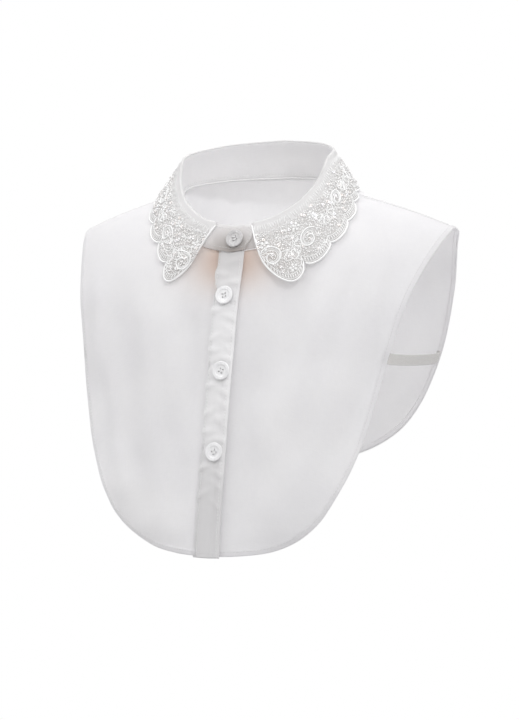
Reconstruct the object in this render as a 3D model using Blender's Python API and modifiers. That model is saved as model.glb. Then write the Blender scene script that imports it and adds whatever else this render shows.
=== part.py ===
"""Detachable lace collar: a buttoned half blouse with a stand and a turned-down scalloped collar.

It is modelled filled out, as it is worn, with no wearer in it. It faces -Y. The origin is the middle
of the neck, at the height where the shoulder seams reach the stand. The tables are in millimetres.
"""

import math

import bmesh
import bpy
import numpy as np
from mathutils import Vector

MM = 0.001
COLLECTION = "lace_collar_garment"
MERGE = 0.00005  # metres
NUDGE = 0.02  # a small step in a turn or a share, for a direction

# Walls and the gap that is left wherever two pieces are sewn
CLOTH = 1.2
STAND_CLOTH = 1.4
SEAM_GAP = 0.4
SHOULDER_GAP = 1.1

# The figure under the cloth, cut into a front and a back at the shoulder line
CHEST_HALF = 175.0
ROUND = {"front": 74.0, "back": 52.0}
SQUARENESS = {  # height, power of the plan's curve: 2 is an ellipse, more is squarer
    "front": ((-300, 1.45), (-287, 1.6), (-270, 2.15), (-255, 2.55), (-235, 2.9), (-200, 3)),
    "back": ((-240, 2.6), (30, 2.6)),
}
SHOULDER_TIP = 165.0
SHOULDER_SWEEP = {"neck": 2.0, "tip": 12.0, "power": 1.5}  # how far back the shoulder line runs
SHOULDER_LINE = (  # across, height
    (0, 24), (40, 13), (70, -2), (100, -11.5), (135, -23), (165, -34.5), (185, -43),
)
DEPTH = {  # height, depth from the shoulder line
    "front": (
        (-300, 107.5), (-275, 103), (-250, 99), (-225, 94.5), (-195, 89.5),
        (-150, 82), (-103, 73.5), (-54, 60.5), (0, 54), (30, 52),
    ),
    "back": (
        (-240, 62), (-200, 65), (-150, 68), (-90, 68), (-40, 64), (9, 58), (30, 56),
    ),
}
EDGE = {  # across, height, from the middle of the hem up to the shoulder
    "front": (
        (0, -293.6), (28, -292.6), (54.5, -288), (73.5, -278.7), (89.8, -264.5),
        (100.5, -248.5), (109.5, -231.5), (117.5, -211), (124, -187), (129.5, -163),
        (134.5, -139), (139.5, -117), (145, -95), (151.5, -73), (159, -51.5),
        (164.6, -37.5),
    ),
    "back": (
        (0, -233), (30, -230), (58, -222.5), (82, -211.5), (101, -197),
        (115, -178.5), (127, -155), (136.5, -131), (143, -107), (148, -82),
        (152, -61), (157.5, -46.5), (164.6, -37),
    ),
}

# The neck: where the panels meet the stand, and the fold on top of it
NECK_HALF = 70.0
FOLD_HALF = 64.5
NECK_DEPTH = {"front": 60.5, "back": 56.0}
FOLD_DEPTH = {"front": 38.0, "back": 56.0}
NECK_SHIFT = 2.0
FOLD_SHIFT = -12.0
NECK_HEIGHT = (  # degrees round from the front, height
    (0, -54), (20, -49.8), (45, -35), (70, -16.1), (90, -3), (120, 3), (150, 6.3), (180, 7.5),
)
FOLD_HEIGHT = (
    (0, -33.6), (20, -30.3), (45, -18.2), (70, 2), (90, 22), (120, 30), (150, 35.2), (180, 37.5),
)
NECK_PULL = {"reach": 45.0, "power": 1.5}  # how far out the panels bend to meet the stand
STAND_LIFT = 1.35
STAND_BOW = 0.8
STAND_LAP_GAP = 0.5
STAND_LAP_FADE = (25.0, 75.0)  # degrees from the front between which the lap fades out
STAND_END = {"seam": 12.2, "middle": 16.5, "fold": 8.5}  # across the middle of the front
STAND_END_ROUND = 2.4

# Front closing
PLACKET_HALF = 11.8
PLACKET_LIFT = 0.3
PLACKET_BELOW_HEM = 1.5
UNDER_PLACKET = 12.0
BUTTON_SIDE_DROP = 1.75
BUTTON_SIDE_FADE = (16.0, 42.0)
BUTTONS = (  # name, across, height
    ("button_1", -0.5, -88.5),
    ("button_2", 2.5, -148),
    ("button_3", 1.5, -212),
)
STAND_BUTTON = (3, 0.46)  # across, share of the stand's height
BUTTON_GAP = 0.35
BUTTON_PROFILE = (  # radius, height over the cloth, from the middle of the face to the back
    (0, 1.5), (4.2, 1.5), (5.2, 2.1), (6.4, 2.6), (7.2, 2.2), (7.6, 1.3), (7.1, 0.4), (5.8, 0),
    (0, 0),
)
BUTTON_SIDES = 24

# The lace collar's edge, seen from above a flat neck: degrees, radius and how far the scallop
# that follows it stands out
EDGE_CENTRE = 20.0
SCALLOPS = {  # side of the wearer, each from the collar's front edge to the middle of the back
    "left": (
        (14, 101, 16.0), (35.5, 106, 4.5), (53, 100, 4), (69, 94.5, 4), (86, 86, 4),
        (102.5, 82, 4), (118.5, 81, 4), (134.5, 81, 4), (150, 81.5, 4), (165, 82, 4),
        (180, 82, 0),
    ),
    "right": (
        (18, 103, 15.5), (34, 106, 3.5), (48, 95.5, 4), (65, 91.5, 3.5), (83, 90, 4),
        (100, 88, 4), (117.5, 85, 4), (134.5, 83, 4), (150, 82, 4), (165, 82, 4), (180, 82, 0),
    ),
}
FOLD_START = {"left": 13.8, "right": 15.0}  # degrees round from the front, at the fold
FRONT_EDGE_FADE = 0.5  # radians over which the collar's slanted front edge turns square
SIDES = {"left": 1, "right": -1}
SCALLOP_STEPS = 7
SCALLOP_ROUND = 0.62
LEAF_LIFT = 2.3
LEAF_OVER_FOLD = ((-0.5, 1.15), (1.1, 1.75))  # out from the stand's top edge, up from it
LEAF_START = (2.4, -0.5)
LEAF_BULGE = ((0, 3.4), (40, 3.4), (75, 1.6), (110, 1), (180, 1))  # degrees, outwards
LEAF_POINTS = 6

# Straps under the arm
STRAP_HEIGHT = {"front": -136.0, "back": -139.0}
STRAP_WIDTH = 8.5
STRAP_CLOTH = 1.2
STRAP_HOLD = 12.0
STRAP_GAP = 0.4
STRAP_EDGE = 1.0
STRAP_BULGE = 0.2
STRAP_SAG = 2.5
STRAP_POINTS = 12

# Points in each direction of the grids: along the rows, then across them
GRID = {
    "front_left": (19, 29),
    "front_right": (19, 28),
    "back": (15, 23),
    "button_placket": (24, 4),
    "collar_stand": (6, 75),
}
EDGE_POINTS = 400
HEM_POINTS = 120

LOOKS = {  # colour, roughness, metallic
    "voile": ((0.9, 0.9, 0.89, 1), 0.8, 0),
    "organza": ((0.93, 0.93, 0.92, 1), 0.5, 0),
    "elastic": ((0.86, 0.86, 0.85, 1), 0.7, 0),
    "shell": ((0.88, 0.87, 0.84, 1), 0.3, 0),
}


def curve(table, value, rounded=False):
    """Smooth curve through a table's (place, amount) rows. It is flat at a peak, or rounded."""
    place, amount = np.array(sorted(table), float).T
    value = np.clip(np.asarray(value, float), place[0], place[-1])
    step = np.diff(place)
    rise = np.diff(amount) / step
    slope = np.zeros(len(place))
    slope[0], slope[-1] = rise[0], rise[-1]
    if rounded:
        slope[1:-1] = (rise[:-1] * step[1:] + rise[1:] * step[:-1]) / (step[:-1] + step[1:])
    else:
        same_way = rise[:-1] * rise[1:] > 0
        mean = 2 * rise[:-1] * rise[1:] / np.where(same_way, rise[:-1] + rise[1:], 1)
        slope[1:-1] = np.where(same_way, mean, 0)
    index = np.clip(np.searchsorted(place, value, side="right") - 1, 0, len(step) - 1)
    t = (value - place[index]) / step[index]
    return (
        amount[index] * (1 + 2 * t) * (1 - t) ** 2
        + amount[index + 1] * t * t * (3 - 2 * t)
        + step[index] * t * (1 - t) * (slope[index] * (1 - t) - slope[index + 1] * t)
    )


def ease(value):
    value = np.clip(value, 0, 1)
    return value * value * (3 - 2 * value)


def unit(vectors):
    return vectors / np.linalg.norm(vectors, axis=-1, keepdims=True)


def neck_seam(turn):
    """The seam under the stand, by the angle round from the front."""
    around = np.cos(turn)
    depth = np.where(around > 0, NECK_DEPTH["front"], NECK_DEPTH["back"])
    height = curve(NECK_HEIGHT, np.degrees(np.abs(turn)))
    return np.stack([NECK_HALF * np.sin(turn), NECK_SHIFT - depth * around, height], -1)


def bare_figure(across, drape):
    """The figure's surface. Drape is the way down from the shoulder line, below 0 on the back."""
    front = drape >= 0
    radius = np.where(front, ROUND["front"], ROUND["back"])
    way = np.abs(drape)
    turn = np.minimum(way / radius, math.pi / 2)
    height = curve(SHOULDER_LINE, np.abs(across)) - radius * (1 - np.cos(turn))
    height = height - np.maximum(0, way - radius * math.pi / 2)
    power = np.where(
        front, curve(SQUARENESS["front"], height), curve(SQUARENESS["back"], height)
    )
    side = (1 - np.minimum(np.abs(across) / CHEST_HALF, 1) ** power) ** (1 / power)
    depth = np.where(front, curve(DEPTH["front"], height), curve(DEPTH["back"], height))
    sweep = SHOULDER_SWEEP["tip"] - SHOULDER_SWEEP["neck"]
    out = np.abs(across) / SHOULDER_TIP
    line = SHOULDER_SWEEP["neck"] + sweep * out ** SHOULDER_SWEEP["power"]
    return np.stack([across, line - np.sign(drape) * depth * side * np.sin(turn), height], -1)


def drape_at(across, height, part):
    """The drape that reaches this height on the front or the back."""
    below = np.maximum(curve(SHOULDER_LINE, np.abs(across)) - height, 0)
    radius = ROUND[part]
    curved = radius * np.arccos(np.clip(1 - below / radius, -1, 1))
    way = np.where(below < radius, curved, radius * (math.pi / 2 - 1) + below)
    return way if part == "front" else -way


def neck_drape(turn):
    """How far down from the shoulder line the neckline lies, by the angle round from the front."""
    around = np.cos(turn)
    front = drape_at(0.0, NECK_HEIGHT[0][1], "front")
    behind = -drape_at(0.0, NECK_HEIGHT[-1][1], "back")
    return np.where(around > 0, front, behind) * around


def figure(across, drape):
    """The figure's surface, pulled near the neck so that it meets the stand's seam."""
    across, drape = np.broadcast_arrays(np.asarray(across, float), np.asarray(drape, float))
    reach = np.where(drape >= 0, neck_drape(0.0), -neck_drape(math.pi))
    share = np.hypot(across / NECK_HALF, drape / reach)
    turn = np.arctan2(np.abs(across) / NECK_HALF, drape / reach)
    seam = neck_seam(turn)
    pull = seam - bare_figure(seam[..., 0], neck_drape(turn))
    past = np.hypot(across, drape) * (1 - 1 / np.maximum(share, 1))
    fade = np.exp(-((past / NECK_PULL["reach"]) ** NECK_PULL["power"]))
    return bare_figure(across, drape) + pull * fade[..., None]


def figure_normal(across, drape):
    """The outward normal of the figure's surface."""
    step = 0.5
    over = figure(across + step, drape) - figure(across - step, drape)
    down = figure(across, drape + step) - figure(across, drape - step)
    return unit(np.cross(down, over))


def on_figure(across, drape, lift=0.0):
    lift = np.asarray(lift, float)[..., None] if np.ndim(lift) else lift
    return figure(across, drape) + lift * figure_normal(across, drape)


def even_path(points, count):
    """Points spaced evenly along a path."""
    run = np.concatenate([[0], np.cumsum(np.linalg.norm(np.diff(points, axis=0), axis=1))])
    places = np.linspace(0, run[-1], count)
    return np.stack([np.interp(places, run, points[:, k]) for k in range(points.shape[1])], -1)


def edge_path(part, first_across, count):
    """A panel's outer edge as (across, drape), from the middle to the shoulder tip."""
    table = np.array(EDGE[part], float)
    knots = np.concatenate([[0], np.cumsum(np.hypot(*np.diff(table, axis=0).T))])
    fine = np.linspace(0, knots[-1], EDGE_POINTS)
    across = curve(list(zip(knots, table[:, 0])), fine, rounded=True)
    height = curve(list(zip(knots, table[:, 1])), fine, rounded=True)
    path = np.stack([across, drape_at(across, height, part)], -1)
    sign = 1 if part == "front" else -1
    path = np.concatenate([path, [[SHOULDER_TIP, sign * SHOULDER_GAP / 2]]])
    if first_across < 0:
        mirrored = path[1:][::-1] * (-1, 1)
        path = np.concatenate([mirrored[mirrored[:, 0] >= first_across], path])
    else:
        path = path[path[:, 0] >= first_across]
    path[0, 0] = first_across
    return even_path(path, count)


def neck_path(part, first_across, count):
    """A panel's neckline as (across, drape), from the middle to the shoulder seam."""
    turns = np.linspace(math.asin(first_across / NECK_HALF), math.pi / 2, count)
    gap = SHOULDER_GAP / 2
    if part == "front":
        drape = np.maximum(neck_drape(turns), gap)
    else:
        drape = np.minimum(neck_drape(math.pi - turns), -gap)
    return np.stack([NECK_HALF * np.sin(turns), drape], -1)


def panel_flat(part, first_across, rows, columns):
    """A panel's grid as (across, drape), with its rows from the neckline out to the edge."""
    neck = neck_path(part, first_across, columns)
    edge = edge_path(part, first_across, columns)
    share = np.linspace(0, 1, rows)[:, None, None]
    return neck + share * (edge - neck)


def button_side_lift(across):
    """The left front runs under the placket, so it lies deeper there."""
    near, far = BUTTON_SIDE_FADE
    return -BUTTON_SIDE_DROP * ease((far - across) / (far - near))


def stand_layer(turn):
    """How far the stand lies off its own line: its right end laps over its left end."""
    lap = (STAND_CLOTH + STAND_LAP_GAP) / 2
    near, far = STAND_LAP_FADE
    outer = ease((far + math.degrees(turn)) / (far - near))
    inner = ease((far - 360 - math.degrees(turn)) / (far - near))
    return lap * (outer - inner)


def stand_point(turn, share):
    """A point of the stand's middle surface. The turn goes from its outer end, through the right
    and the back, to its under end. The share is 0 at the seam and 1 at the fold."""
    seam = neck_seam(np.array(wrapped(turn))) + (0, 0, STAND_LIFT)
    around = math.cos(turn)
    height = float(curve(FOLD_HEIGHT, abs(math.degrees(wrapped(turn)))))
    fold = np.array([FOLD_HALF * math.sin(turn), FOLD_SHIFT - fold_depth(turn) * around, height])
    bow = STAND_BOW * 4 * share * (1 - share)
    return seam + share * (fold - seam) + ring_out(turn) * (stand_layer(turn) + bow)


def wrapped(turn):
    """The same turn between minus half a turn and half a turn."""
    return (turn + math.pi) % (2 * math.pi) - math.pi


def fold_depth(turn):
    return FOLD_DEPTH["front"] if math.cos(turn) > 0 else FOLD_DEPTH["back"]


def ring_out(turn):
    """The level direction away from the neck."""
    return unit(np.array([math.sin(turn) / FOLD_HALF, -math.cos(turn) / fold_depth(turn), 0.0]))


def stand_end(share):
    """How far past the middle the stand's rounded end reaches."""
    middle = STAND_END["middle"]
    if share < 0.5:
        return STAND_END["seam"] + (middle - STAND_END["seam"]) * ease(2 * share)
    return middle - (middle - STAND_END["fold"]) * (2 * share - 1) ** STAND_END_ROUND


def material(name, look):
    """A piece's own material, with the colour and the sheen of its look."""
    made = bpy.data.materials.new(name)
    made.use_nodes = True
    colour, roughness, metallic = LOOKS[look]
    shader = made.node_tree.nodes["Principled BSDF"]
    shader.inputs["Base Color"].default_value = colour
    shader.inputs["Roughness"].default_value = roughness
    shader.inputs["Metallic"].default_value = metallic
    made.diffuse_color = colour
    return made


def put_in(piece, garment):
    """Move a piece into the garment's collection and under its empty."""
    for home in list(piece.users_collection):
        home.objects.unlink(piece)
    bpy.data.collections[COLLECTION].objects.link(piece)
    piece.parent = garment


def sheet(name, points, thickness, look, garment):
    """One piece of cloth as a closed solid, from the grid of its middle surface."""
    rows, columns = points.shape[:2]
    bpy.ops.mesh.primitive_grid_add(x_subdivisions=columns - 1, y_subdivisions=rows - 1)
    piece = bpy.context.object
    piece.name = piece.data.name = name
    piece.data.vertices.foreach_set("co", (points * MM).astype(np.float32).ravel())
    piece.data.shade_smooth()
    piece.data.materials.append(material(name, look))
    wall = piece.modifiers.new("wall", "SOLIDIFY")
    wall.thickness = thickness * MM
    wall.offset = 0
    wall.use_even_offset = True
    put_in(piece, garment)
    return piece


def front_left(garment):
    flat = panel_flat("front", -UNDER_PLACKET, *GRID["front_left"])
    across, drape = flat[..., 0], flat[..., 1]
    points = on_figure(across, drape, button_side_lift(across))
    return sheet("front_left", points, CLOTH, "voile", garment)


def front_right(garment):
    flat = panel_flat("front", PLACKET_HALF + SEAM_GAP, *GRID["front_right"])
    return sheet("front_right", on_figure(-flat[..., 0], flat[..., 1]), CLOTH, "voile", garment)


def back(garment):
    half = panel_flat("back", 0.0, *GRID["back"])
    mirrored = half[:, :0:-1] * (-1, 1)
    flat = np.concatenate([mirrored, half], axis=1)
    return sheet("back", on_figure(flat[..., 0], flat[..., 1]), CLOTH, "voile", garment)


def button_placket(garment):
    """The band down the front, from the stand to just below the hem."""
    rows, columns = GRID["button_placket"]
    hem = edge_path("front", -2 * PLACKET_HALF, HEM_POINTS)
    across = np.linspace(-PLACKET_HALF, PLACKET_HALF, columns)
    top = neck_drape(np.arcsin(across / NECK_HALF))
    bottom = np.interp(across, hem[:, 0], hem[:, 1]) + PLACKET_BELOW_HEM
    share = np.linspace(0, 1, rows)[:, None]
    points = on_figure(across, top + share * (bottom - top), PLACKET_LIFT)
    return sheet("button_placket", points, STAND_CLOTH, "voile", garment)


def collar_stand(garment):
    heights, around = GRID["collar_stand"]
    rows = []
    for share in np.linspace(0, 1, heights):
        reach = math.asin(stand_end(share) / FOLD_HALF)
        turns = np.linspace(reach, -2 * math.pi - reach, around)
        rows.append([stand_point(turn, share) for turn in turns])
    return sheet("collar_stand", np.array(rows), STAND_CLOTH, "voile", garment)


def leaf_edge(side):
    """One half of the lace collar's edge: rows of (degrees, radius) from its front to the back."""
    notches = SCALLOPS[side]
    rows = []
    for (start, near, stand_out), (end, far, _) in zip(notches, notches[1:]):
        for share in np.arange(SCALLOP_STEPS) / SCALLOP_STEPS:
            round_out = stand_out * math.sin(math.pi * share) ** SCALLOP_ROUND
            rows.append((start + share * (end - start), near + share * (far - near) + round_out))
    rows.append(notches[-1][:2])
    return rows


def leaf_column(side, degrees, radius):
    """The points down one line of the lace collar, from inside the fold to its edge."""
    sign = SIDES[side]
    turn = math.radians(degrees)
    across = np.array(sign * radius * math.sin(turn))
    drape = np.array(EDGE_CENTRE + radius * math.cos(turn))
    edge = on_figure(across, drape, LEAF_LIFT)
    plan = fold_turn_of(edge)
    first_plan = front_plan(side)
    lean = first_plan - math.radians(FOLD_START[side])
    fade = math.exp(-(((plan - first_plan) / FRONT_EDGE_FADE) ** 2))
    fold_turn = sign * (plan - lean * fade)
    place = fold_turn if sign < 0 else fold_turn - 2 * math.pi
    top = stand_point(place, 1.0)
    out = ring_out(fold_turn)
    up = np.array([0, 0, 1.0])
    points = [top + beyond * out + above * up for beyond, above in LEAF_OVER_FOLD]
    start = top + LEAF_START[0] * out + LEAF_START[1] * up
    middle = (start + edge) / 2 + float(curve(LEAF_BULGE, math.degrees(plan))) * out
    for share in np.linspace(0, 1, LEAF_POINTS):
        points.append(
            (1 - share) ** 2 * start + 2 * share * (1 - share) * middle + share**2 * edge
        )
    return points


def fold_turn_of(point):
    """The angle round from the front, on the fold, that lies inside this point."""
    forward = FOLD_SHIFT - point[1]
    depth = FOLD_DEPTH["front"] if forward > 0 else FOLD_DEPTH["back"]
    return math.atan2(abs(point[0]) / FOLD_HALF, forward / depth)


def front_plan(side):
    """The same angle for the lower end of the collar's front edge."""
    first, radius, _ = SCALLOPS[side][0]
    turn = math.radians(first)
    return fold_turn_of(figure(radius * math.sin(turn), EDGE_CENTRE + radius * math.cos(turn)))


def lace_collar(garment):
    left = [leaf_column("left", *row) for row in leaf_edge("left")]
    right = [leaf_column("right", *row) for row in leaf_edge("right")]
    columns = left + right[-2::-1]
    points = np.array(columns).transpose(1, 0, 2)
    return sheet("lace_collar", points, CLOTH, "organza", garment)


def button_half():
    """Half a cut through a button, from the middle of its face round its rim to its back."""
    mesh = bpy.data.meshes.new("button_half")
    shape = bmesh.new()
    points = [shape.verts.new((radius * MM, 0, up * MM)) for radius, up in BUTTON_PROFILE]
    for first, second in zip(points, points[1:]):
        shape.edges.new((first, second))
    shape.to_mesh(mesh)
    shape.free()
    mesh.materials.append(material("button", "shell"))
    return mesh


def button(name, half, centre, normal, garment):
    """A round button with a raised rim, its back on the centre and its face along the normal."""
    piece = bpy.data.objects.new(name, half)
    turned = piece.modifiers.new("turned", "SCREW")
    turned.axis = "Z"
    turned.steps = turned.render_steps = BUTTON_SIDES
    turned.use_merge_vertices = True
    turned.merge_threshold = MERGE
    turned.use_smooth_shade = True
    piece.location = Vector(centre * MM)
    piece.rotation_euler = Vector(normal).to_track_quat("Z", "Y").to_euler()
    put_in(piece, garment)
    return piece


def placket_buttons(half, garment):
    for name, across, height in BUTTONS:
        drape = drape_at(float(across), height, "front")
        normal = figure_normal(float(across), drape)
        surface = PLACKET_LIFT + STAND_CLOTH / 2 + BUTTON_GAP
        button(name, half, figure(float(across), drape) + normal * surface, normal, garment)


def stand_button(half, garment):
    across, share = STAND_BUTTON
    turn = math.asin(across / FOLD_HALF)
    middle = stand_point(turn, share)
    along = stand_point(turn + NUDGE, share) - stand_point(turn - NUDGE, share)
    upward = stand_point(turn, share + NUDGE) - stand_point(turn, share - NUDGE)
    normal = unit(np.cross(along, upward))
    surface = STAND_CLOTH / 2 + BUTTON_GAP
    button("button_stand", half, middle + normal * surface, normal, garment)


def strap(name, side, garment):
    """A flat elastic from inside the front's edge to inside the back's edge."""
    inside = -(CLOTH / 2 + STRAP_CLOTH / 2 + STRAP_GAP)
    rows = []
    for offset in np.linspace(-STRAP_WIDTH / 2, STRAP_WIDTH / 2, 4):
        ends = []
        for part in ("front", "back"):
            widths, heights = np.array(EDGE[part], float).T
            height = STRAP_HEIGHT[part] - offset
            limit = np.interp(height, heights, widths)
            across = limit - np.array([STRAP_HOLD, STRAP_HOLD / 2, STRAP_EDGE])
            drape = drape_at(across, height, part)
            ends.append(on_figure(side * across, drape, inside))
        first, last = ends[0], ends[1][::-1]
        rows.append(np.concatenate([first, strap_bridge(first, last), last]))
    return sheet(name, np.array(rows), STRAP_CLOTH, "elastic", garment)


def strap_bridge(first, last):
    """The strap's free stretch. It leaves one hem and reaches the other along the cloth."""
    span = np.linalg.norm(last[0] - first[-1])
    leave = unit(first[-1] - first[-2]) * span
    arrive = unit(last[1] - last[0]) * span
    share = np.linspace(0, 1, STRAP_POINTS)[1:-1, None]
    between = share * (1 - share)
    return (
        first[-1] * (1 + 2 * share) * (1 - share) ** 2
        + last[0] * share**2 * (3 - 2 * share)
        + STRAP_BULGE * between * (leave * (1 - share) - arrive * share)
        - STRAP_SAG * 4 * between * (0, 0, 1)
    )


def main():
    for old in list(bpy.data.objects):
        bpy.data.objects.remove(old, do_unlink=True)
    collection = bpy.data.collections.new(COLLECTION)
    bpy.context.scene.collection.children.link(collection)
    garment = bpy.data.objects.new("garment", None)
    collection.objects.link(garment)
    front_left(garment)
    front_right(garment)
    back(garment)
    button_placket(garment)
    collar_stand(garment)
    lace_collar(garment)
    half = button_half()
    placket_buttons(half, garment)
    stand_button(half, garment)
    for side, sign in SIDES.items():
        strap("strap_" + side, sign, garment)


main()
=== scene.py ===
import math

import bpy
import numpy as np
from mathutils import Matrix, Vector


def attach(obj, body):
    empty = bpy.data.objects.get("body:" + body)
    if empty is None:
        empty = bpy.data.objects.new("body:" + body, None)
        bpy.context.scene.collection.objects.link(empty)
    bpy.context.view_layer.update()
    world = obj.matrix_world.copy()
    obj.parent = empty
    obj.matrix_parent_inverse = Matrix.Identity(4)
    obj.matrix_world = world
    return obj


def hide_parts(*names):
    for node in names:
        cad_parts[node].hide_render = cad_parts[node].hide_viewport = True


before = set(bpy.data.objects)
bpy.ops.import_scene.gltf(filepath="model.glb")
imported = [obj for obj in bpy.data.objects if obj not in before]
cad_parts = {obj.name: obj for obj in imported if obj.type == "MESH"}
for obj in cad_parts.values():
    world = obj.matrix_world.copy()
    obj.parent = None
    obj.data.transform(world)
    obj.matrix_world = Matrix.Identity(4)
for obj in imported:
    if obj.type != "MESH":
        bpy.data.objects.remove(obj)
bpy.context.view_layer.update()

MM = 0.001

# Sizes shared with the solids, in millimetres
CLOTH = 1.2
STAND_CLOTH = 1.4
SEAM_GAP = 0.4
SHOULDER_GAP = 1.1
CHEST_HALF = 175.0
ROUND = {"front": 74.0, "back": 52.0}
SQUARENESS = {  # height, power of the plan's curve: 2 is an ellipse, more is squarer
    "front": ((-300, 1.45), (-287, 1.6), (-270, 2.15), (-255, 2.55), (-235, 2.9), (-200, 3)),
    "back": ((-240, 2.6), (30, 2.6)),
}
SHOULDER_TIP = 165.0
SHOULDER_LINE = (  # across, height
    (0, 24), (40, 13), (70, -2), (100, -11.5), (135, -23), (165, -34.5), (185, -43),
)
DEPTH = {  # height, depth from the shoulder line
    "front": (
        (-300, 107.5), (-275, 103), (-250, 99), (-225, 94.5), (-195, 89.5),
        (-150, 82), (-103, 73.5), (-54, 60.5), (0, 54), (30, 52),
    ),
    "back": (
        (-240, 62), (-200, 65), (-150, 68), (-90, 68), (-40, 64), (9, 58), (30, 56),
    ),
}
EDGE = {  # across, height, from the middle of the hem up to the shoulder
    "front": (
        (0, -293.6), (28, -292.6), (54.5, -288), (73.5, -278.7), (89.8, -264.5),
        (100.5, -248.5), (109.5, -231.5), (117.5, -211), (124, -187), (129.5, -163),
        (134.5, -139), (139.5, -117), (145, -95), (151.5, -73), (159, -51.5),
        (164.6, -37.5),
    ),
    "back": (
        (0, -233), (30, -230), (58, -222.5), (82, -211.5), (101, -197),
        (115, -178.5), (127, -155), (136.5, -131), (143, -107), (148, -82),
        (152, -61), (157.5, -46.5), (164.6, -37),
    ),
}
NECK_HALF = 70.0
FOLD_HALF = 64.5
NECK_DEPTH = {"front": 60.5, "back": 56.0}
FOLD_DEPTH = {"front": 38.0, "back": 56.0}
NECK_SHIFT = 2.0
FOLD_SHIFT = -12.0
NECK_HEIGHT = (  # degrees round from the front, height
    (0, -54), (20, -49.8), (45, -35), (70, -16.1), (90, -3), (120, 3), (150, 6.3), (180, 7.5),
)
FOLD_HEIGHT = (
    (0, -33.6), (20, -30.3), (45, -18.2), (70, 2), (90, 22), (120, 30), (150, 35.2), (180, 37.5),
)
STAND_LIFT = 1.35
PLACKET_HALF = 11.8
BUTTON_SIDE_DROP = 1.75
BUTTONS = (  # name, across, height
    ("button_1", -0.5, -88.5),
    ("button_2", 2.5, -148),
    ("button_3", 1.5, -212),
)
STAND_BUTTON = (3, 0.46)
EDGE_CENTRE = 20.0
SCALLOPS = {  # degrees, radius, how far the scallop that follows stands out
    "left": (
        (14, 101, 16.0), (35.5, 106, 4.5), (53, 100, 4), (69, 94.5, 4), (86, 86, 4),
        (102.5, 82, 4), (118.5, 81, 4), (134.5, 81, 4), (150, 81.5, 4), (165, 82, 4),
        (180, 82, 0),
    ),
    "right": (
        (18, 103, 15.5), (34, 106, 3.5), (48, 95.5, 4), (65, 91.5, 3.5), (83, 90, 4),
        (100, 88, 4), (117.5, 85, 4), (134.5, 83, 4), (150, 82, 4), (165, 82, 4), (180, 82, 0),
    ),
}
FOLD_START = {"left": 13.8, "right": 15.0}
LEAF_BULGE = ((0, 3.4), (40, 3.4), (75, 1.6), (110, 1), (180, 1))  # degrees, outwards
SIDES = {"left": 1, "right": -1}
LEAF_LIFT = 2.3
STRAP_HEIGHT = {"front": -136.0, "back": -139.0}
STRAP_WIDTH = 8.5
STRAP_CLOTH = 1.2
STRAP_HOLD = 3.5
STRAP_SAG = 2.5
STRAP_RIB = (0.05, 1.4)  # height, spacing

# Thin cloth and its making
VOILE = 0.55
STAND_VOILE = 1.15
ORGANZA = 0.4
HEM_WIDTH = 4.2
HEM_RISE = 0.3
STITCH_LENGTH = 2.0
STITCH_GAP = 0.75
STITCH_GIRTH = 0.5

# Soft folds of the front: from (across, height) to (across, height), half width, depth inwards
FRONT_FOLDS = (
    ((50, -80), (27, -178), 15, 5.4),
    ((86, -92), (46, -205), 17, -4.2),
    ((133, -66), (122, -150), 8, 3.2),
    ((124, -140), (98, -215), 9, 3.4),
    ((104, -70), (78, -150), 11, 2.6),
    ((66, -62), (52, -150), 10, 2.4),
    ((96, -150), (70, -240), 12, -2.2),
    ((30, -190), (24, -270), 12, 2.6),
    ((58, -205), (50, -265), 13, -2.0),
    ((-104, -90), (-84, -225), 13, 2.4),
    ((-76, -90), (-58, -225), 12, -3.0),
    ((-36, -96), (-24, -190), 11, 3.6),
    ((-128, -75), (-120, -160), 9, -2.4),
    ((-40, -190), (-32, -262), 11, 2.6),
    ((-66, -215), (-60, -265), 10, 1.8),
    ((-56, -100), (-44, -170), 9, -2.0),
    ((-120, -150), (-104, -225), 9, 2.2),
    ((-92, -210), (-80, -250), 9, -1.8),
)
BACK_FOLDS = (
    ((26, -30), (34, -200), 14, 1.8),
    ((-30, -30), (-26, -190), 15, 2.0),
    ((72, -50), (58, -190), 14, -1.6),
    ((-78, -40), (-70, -180), 13, -1.4),
    ((112, -60), (96, -180), 12, 1.5),
    ((-116, -70), (-102, -170), 11, 1.3),
)


def curve(table, value, rounded=False):
    """Smooth curve through a table's (place, amount) rows. It is flat at a peak, or rounded."""
    place, amount = np.array(sorted(table), float).T
    value = np.clip(np.asarray(value, float), place[0], place[-1])
    step = np.diff(place)
    rise = np.diff(amount) / step
    slope = np.zeros(len(place))
    slope[0], slope[-1] = rise[0], rise[-1]
    if rounded:
        slope[1:-1] = (rise[:-1] * step[1:] + rise[1:] * step[:-1]) / (step[:-1] + step[1:])
    else:
        same_way = rise[:-1] * rise[1:] > 0
        mean = 2 * rise[:-1] * rise[1:] / np.where(same_way, rise[:-1] + rise[1:], 1)
        slope[1:-1] = np.where(same_way, mean, 0)
    index = np.clip(np.searchsorted(place, value, side="right") - 1, 0, len(step) - 1)
    t = (value - place[index]) / step[index]
    return (
        amount[index] * (1 + 2 * t) * (1 - t) ** 2
        + amount[index + 1] * t * t * (3 - 2 * t)
        + step[index] * t * (1 - t) * (slope[index] * (1 - t) - slope[index + 1] * t)
    )


def ease(value):
    value = np.clip(value, 0, 1)
    return value * value * (3 - 2 * value)


def unit(vectors):
    return vectors / np.maximum(np.linalg.norm(vectors, axis=-1, keepdims=True), 1e-9)


def neck_seam(turn):
    around = np.cos(turn)
    depth = np.where(around > 0, NECK_DEPTH["front"], NECK_DEPTH["back"])
    height = curve(NECK_HEIGHT, np.degrees(np.abs(turn)))
    return np.stack([NECK_HALF * np.sin(turn), NECK_SHIFT - depth * around, height], -1)


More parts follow.
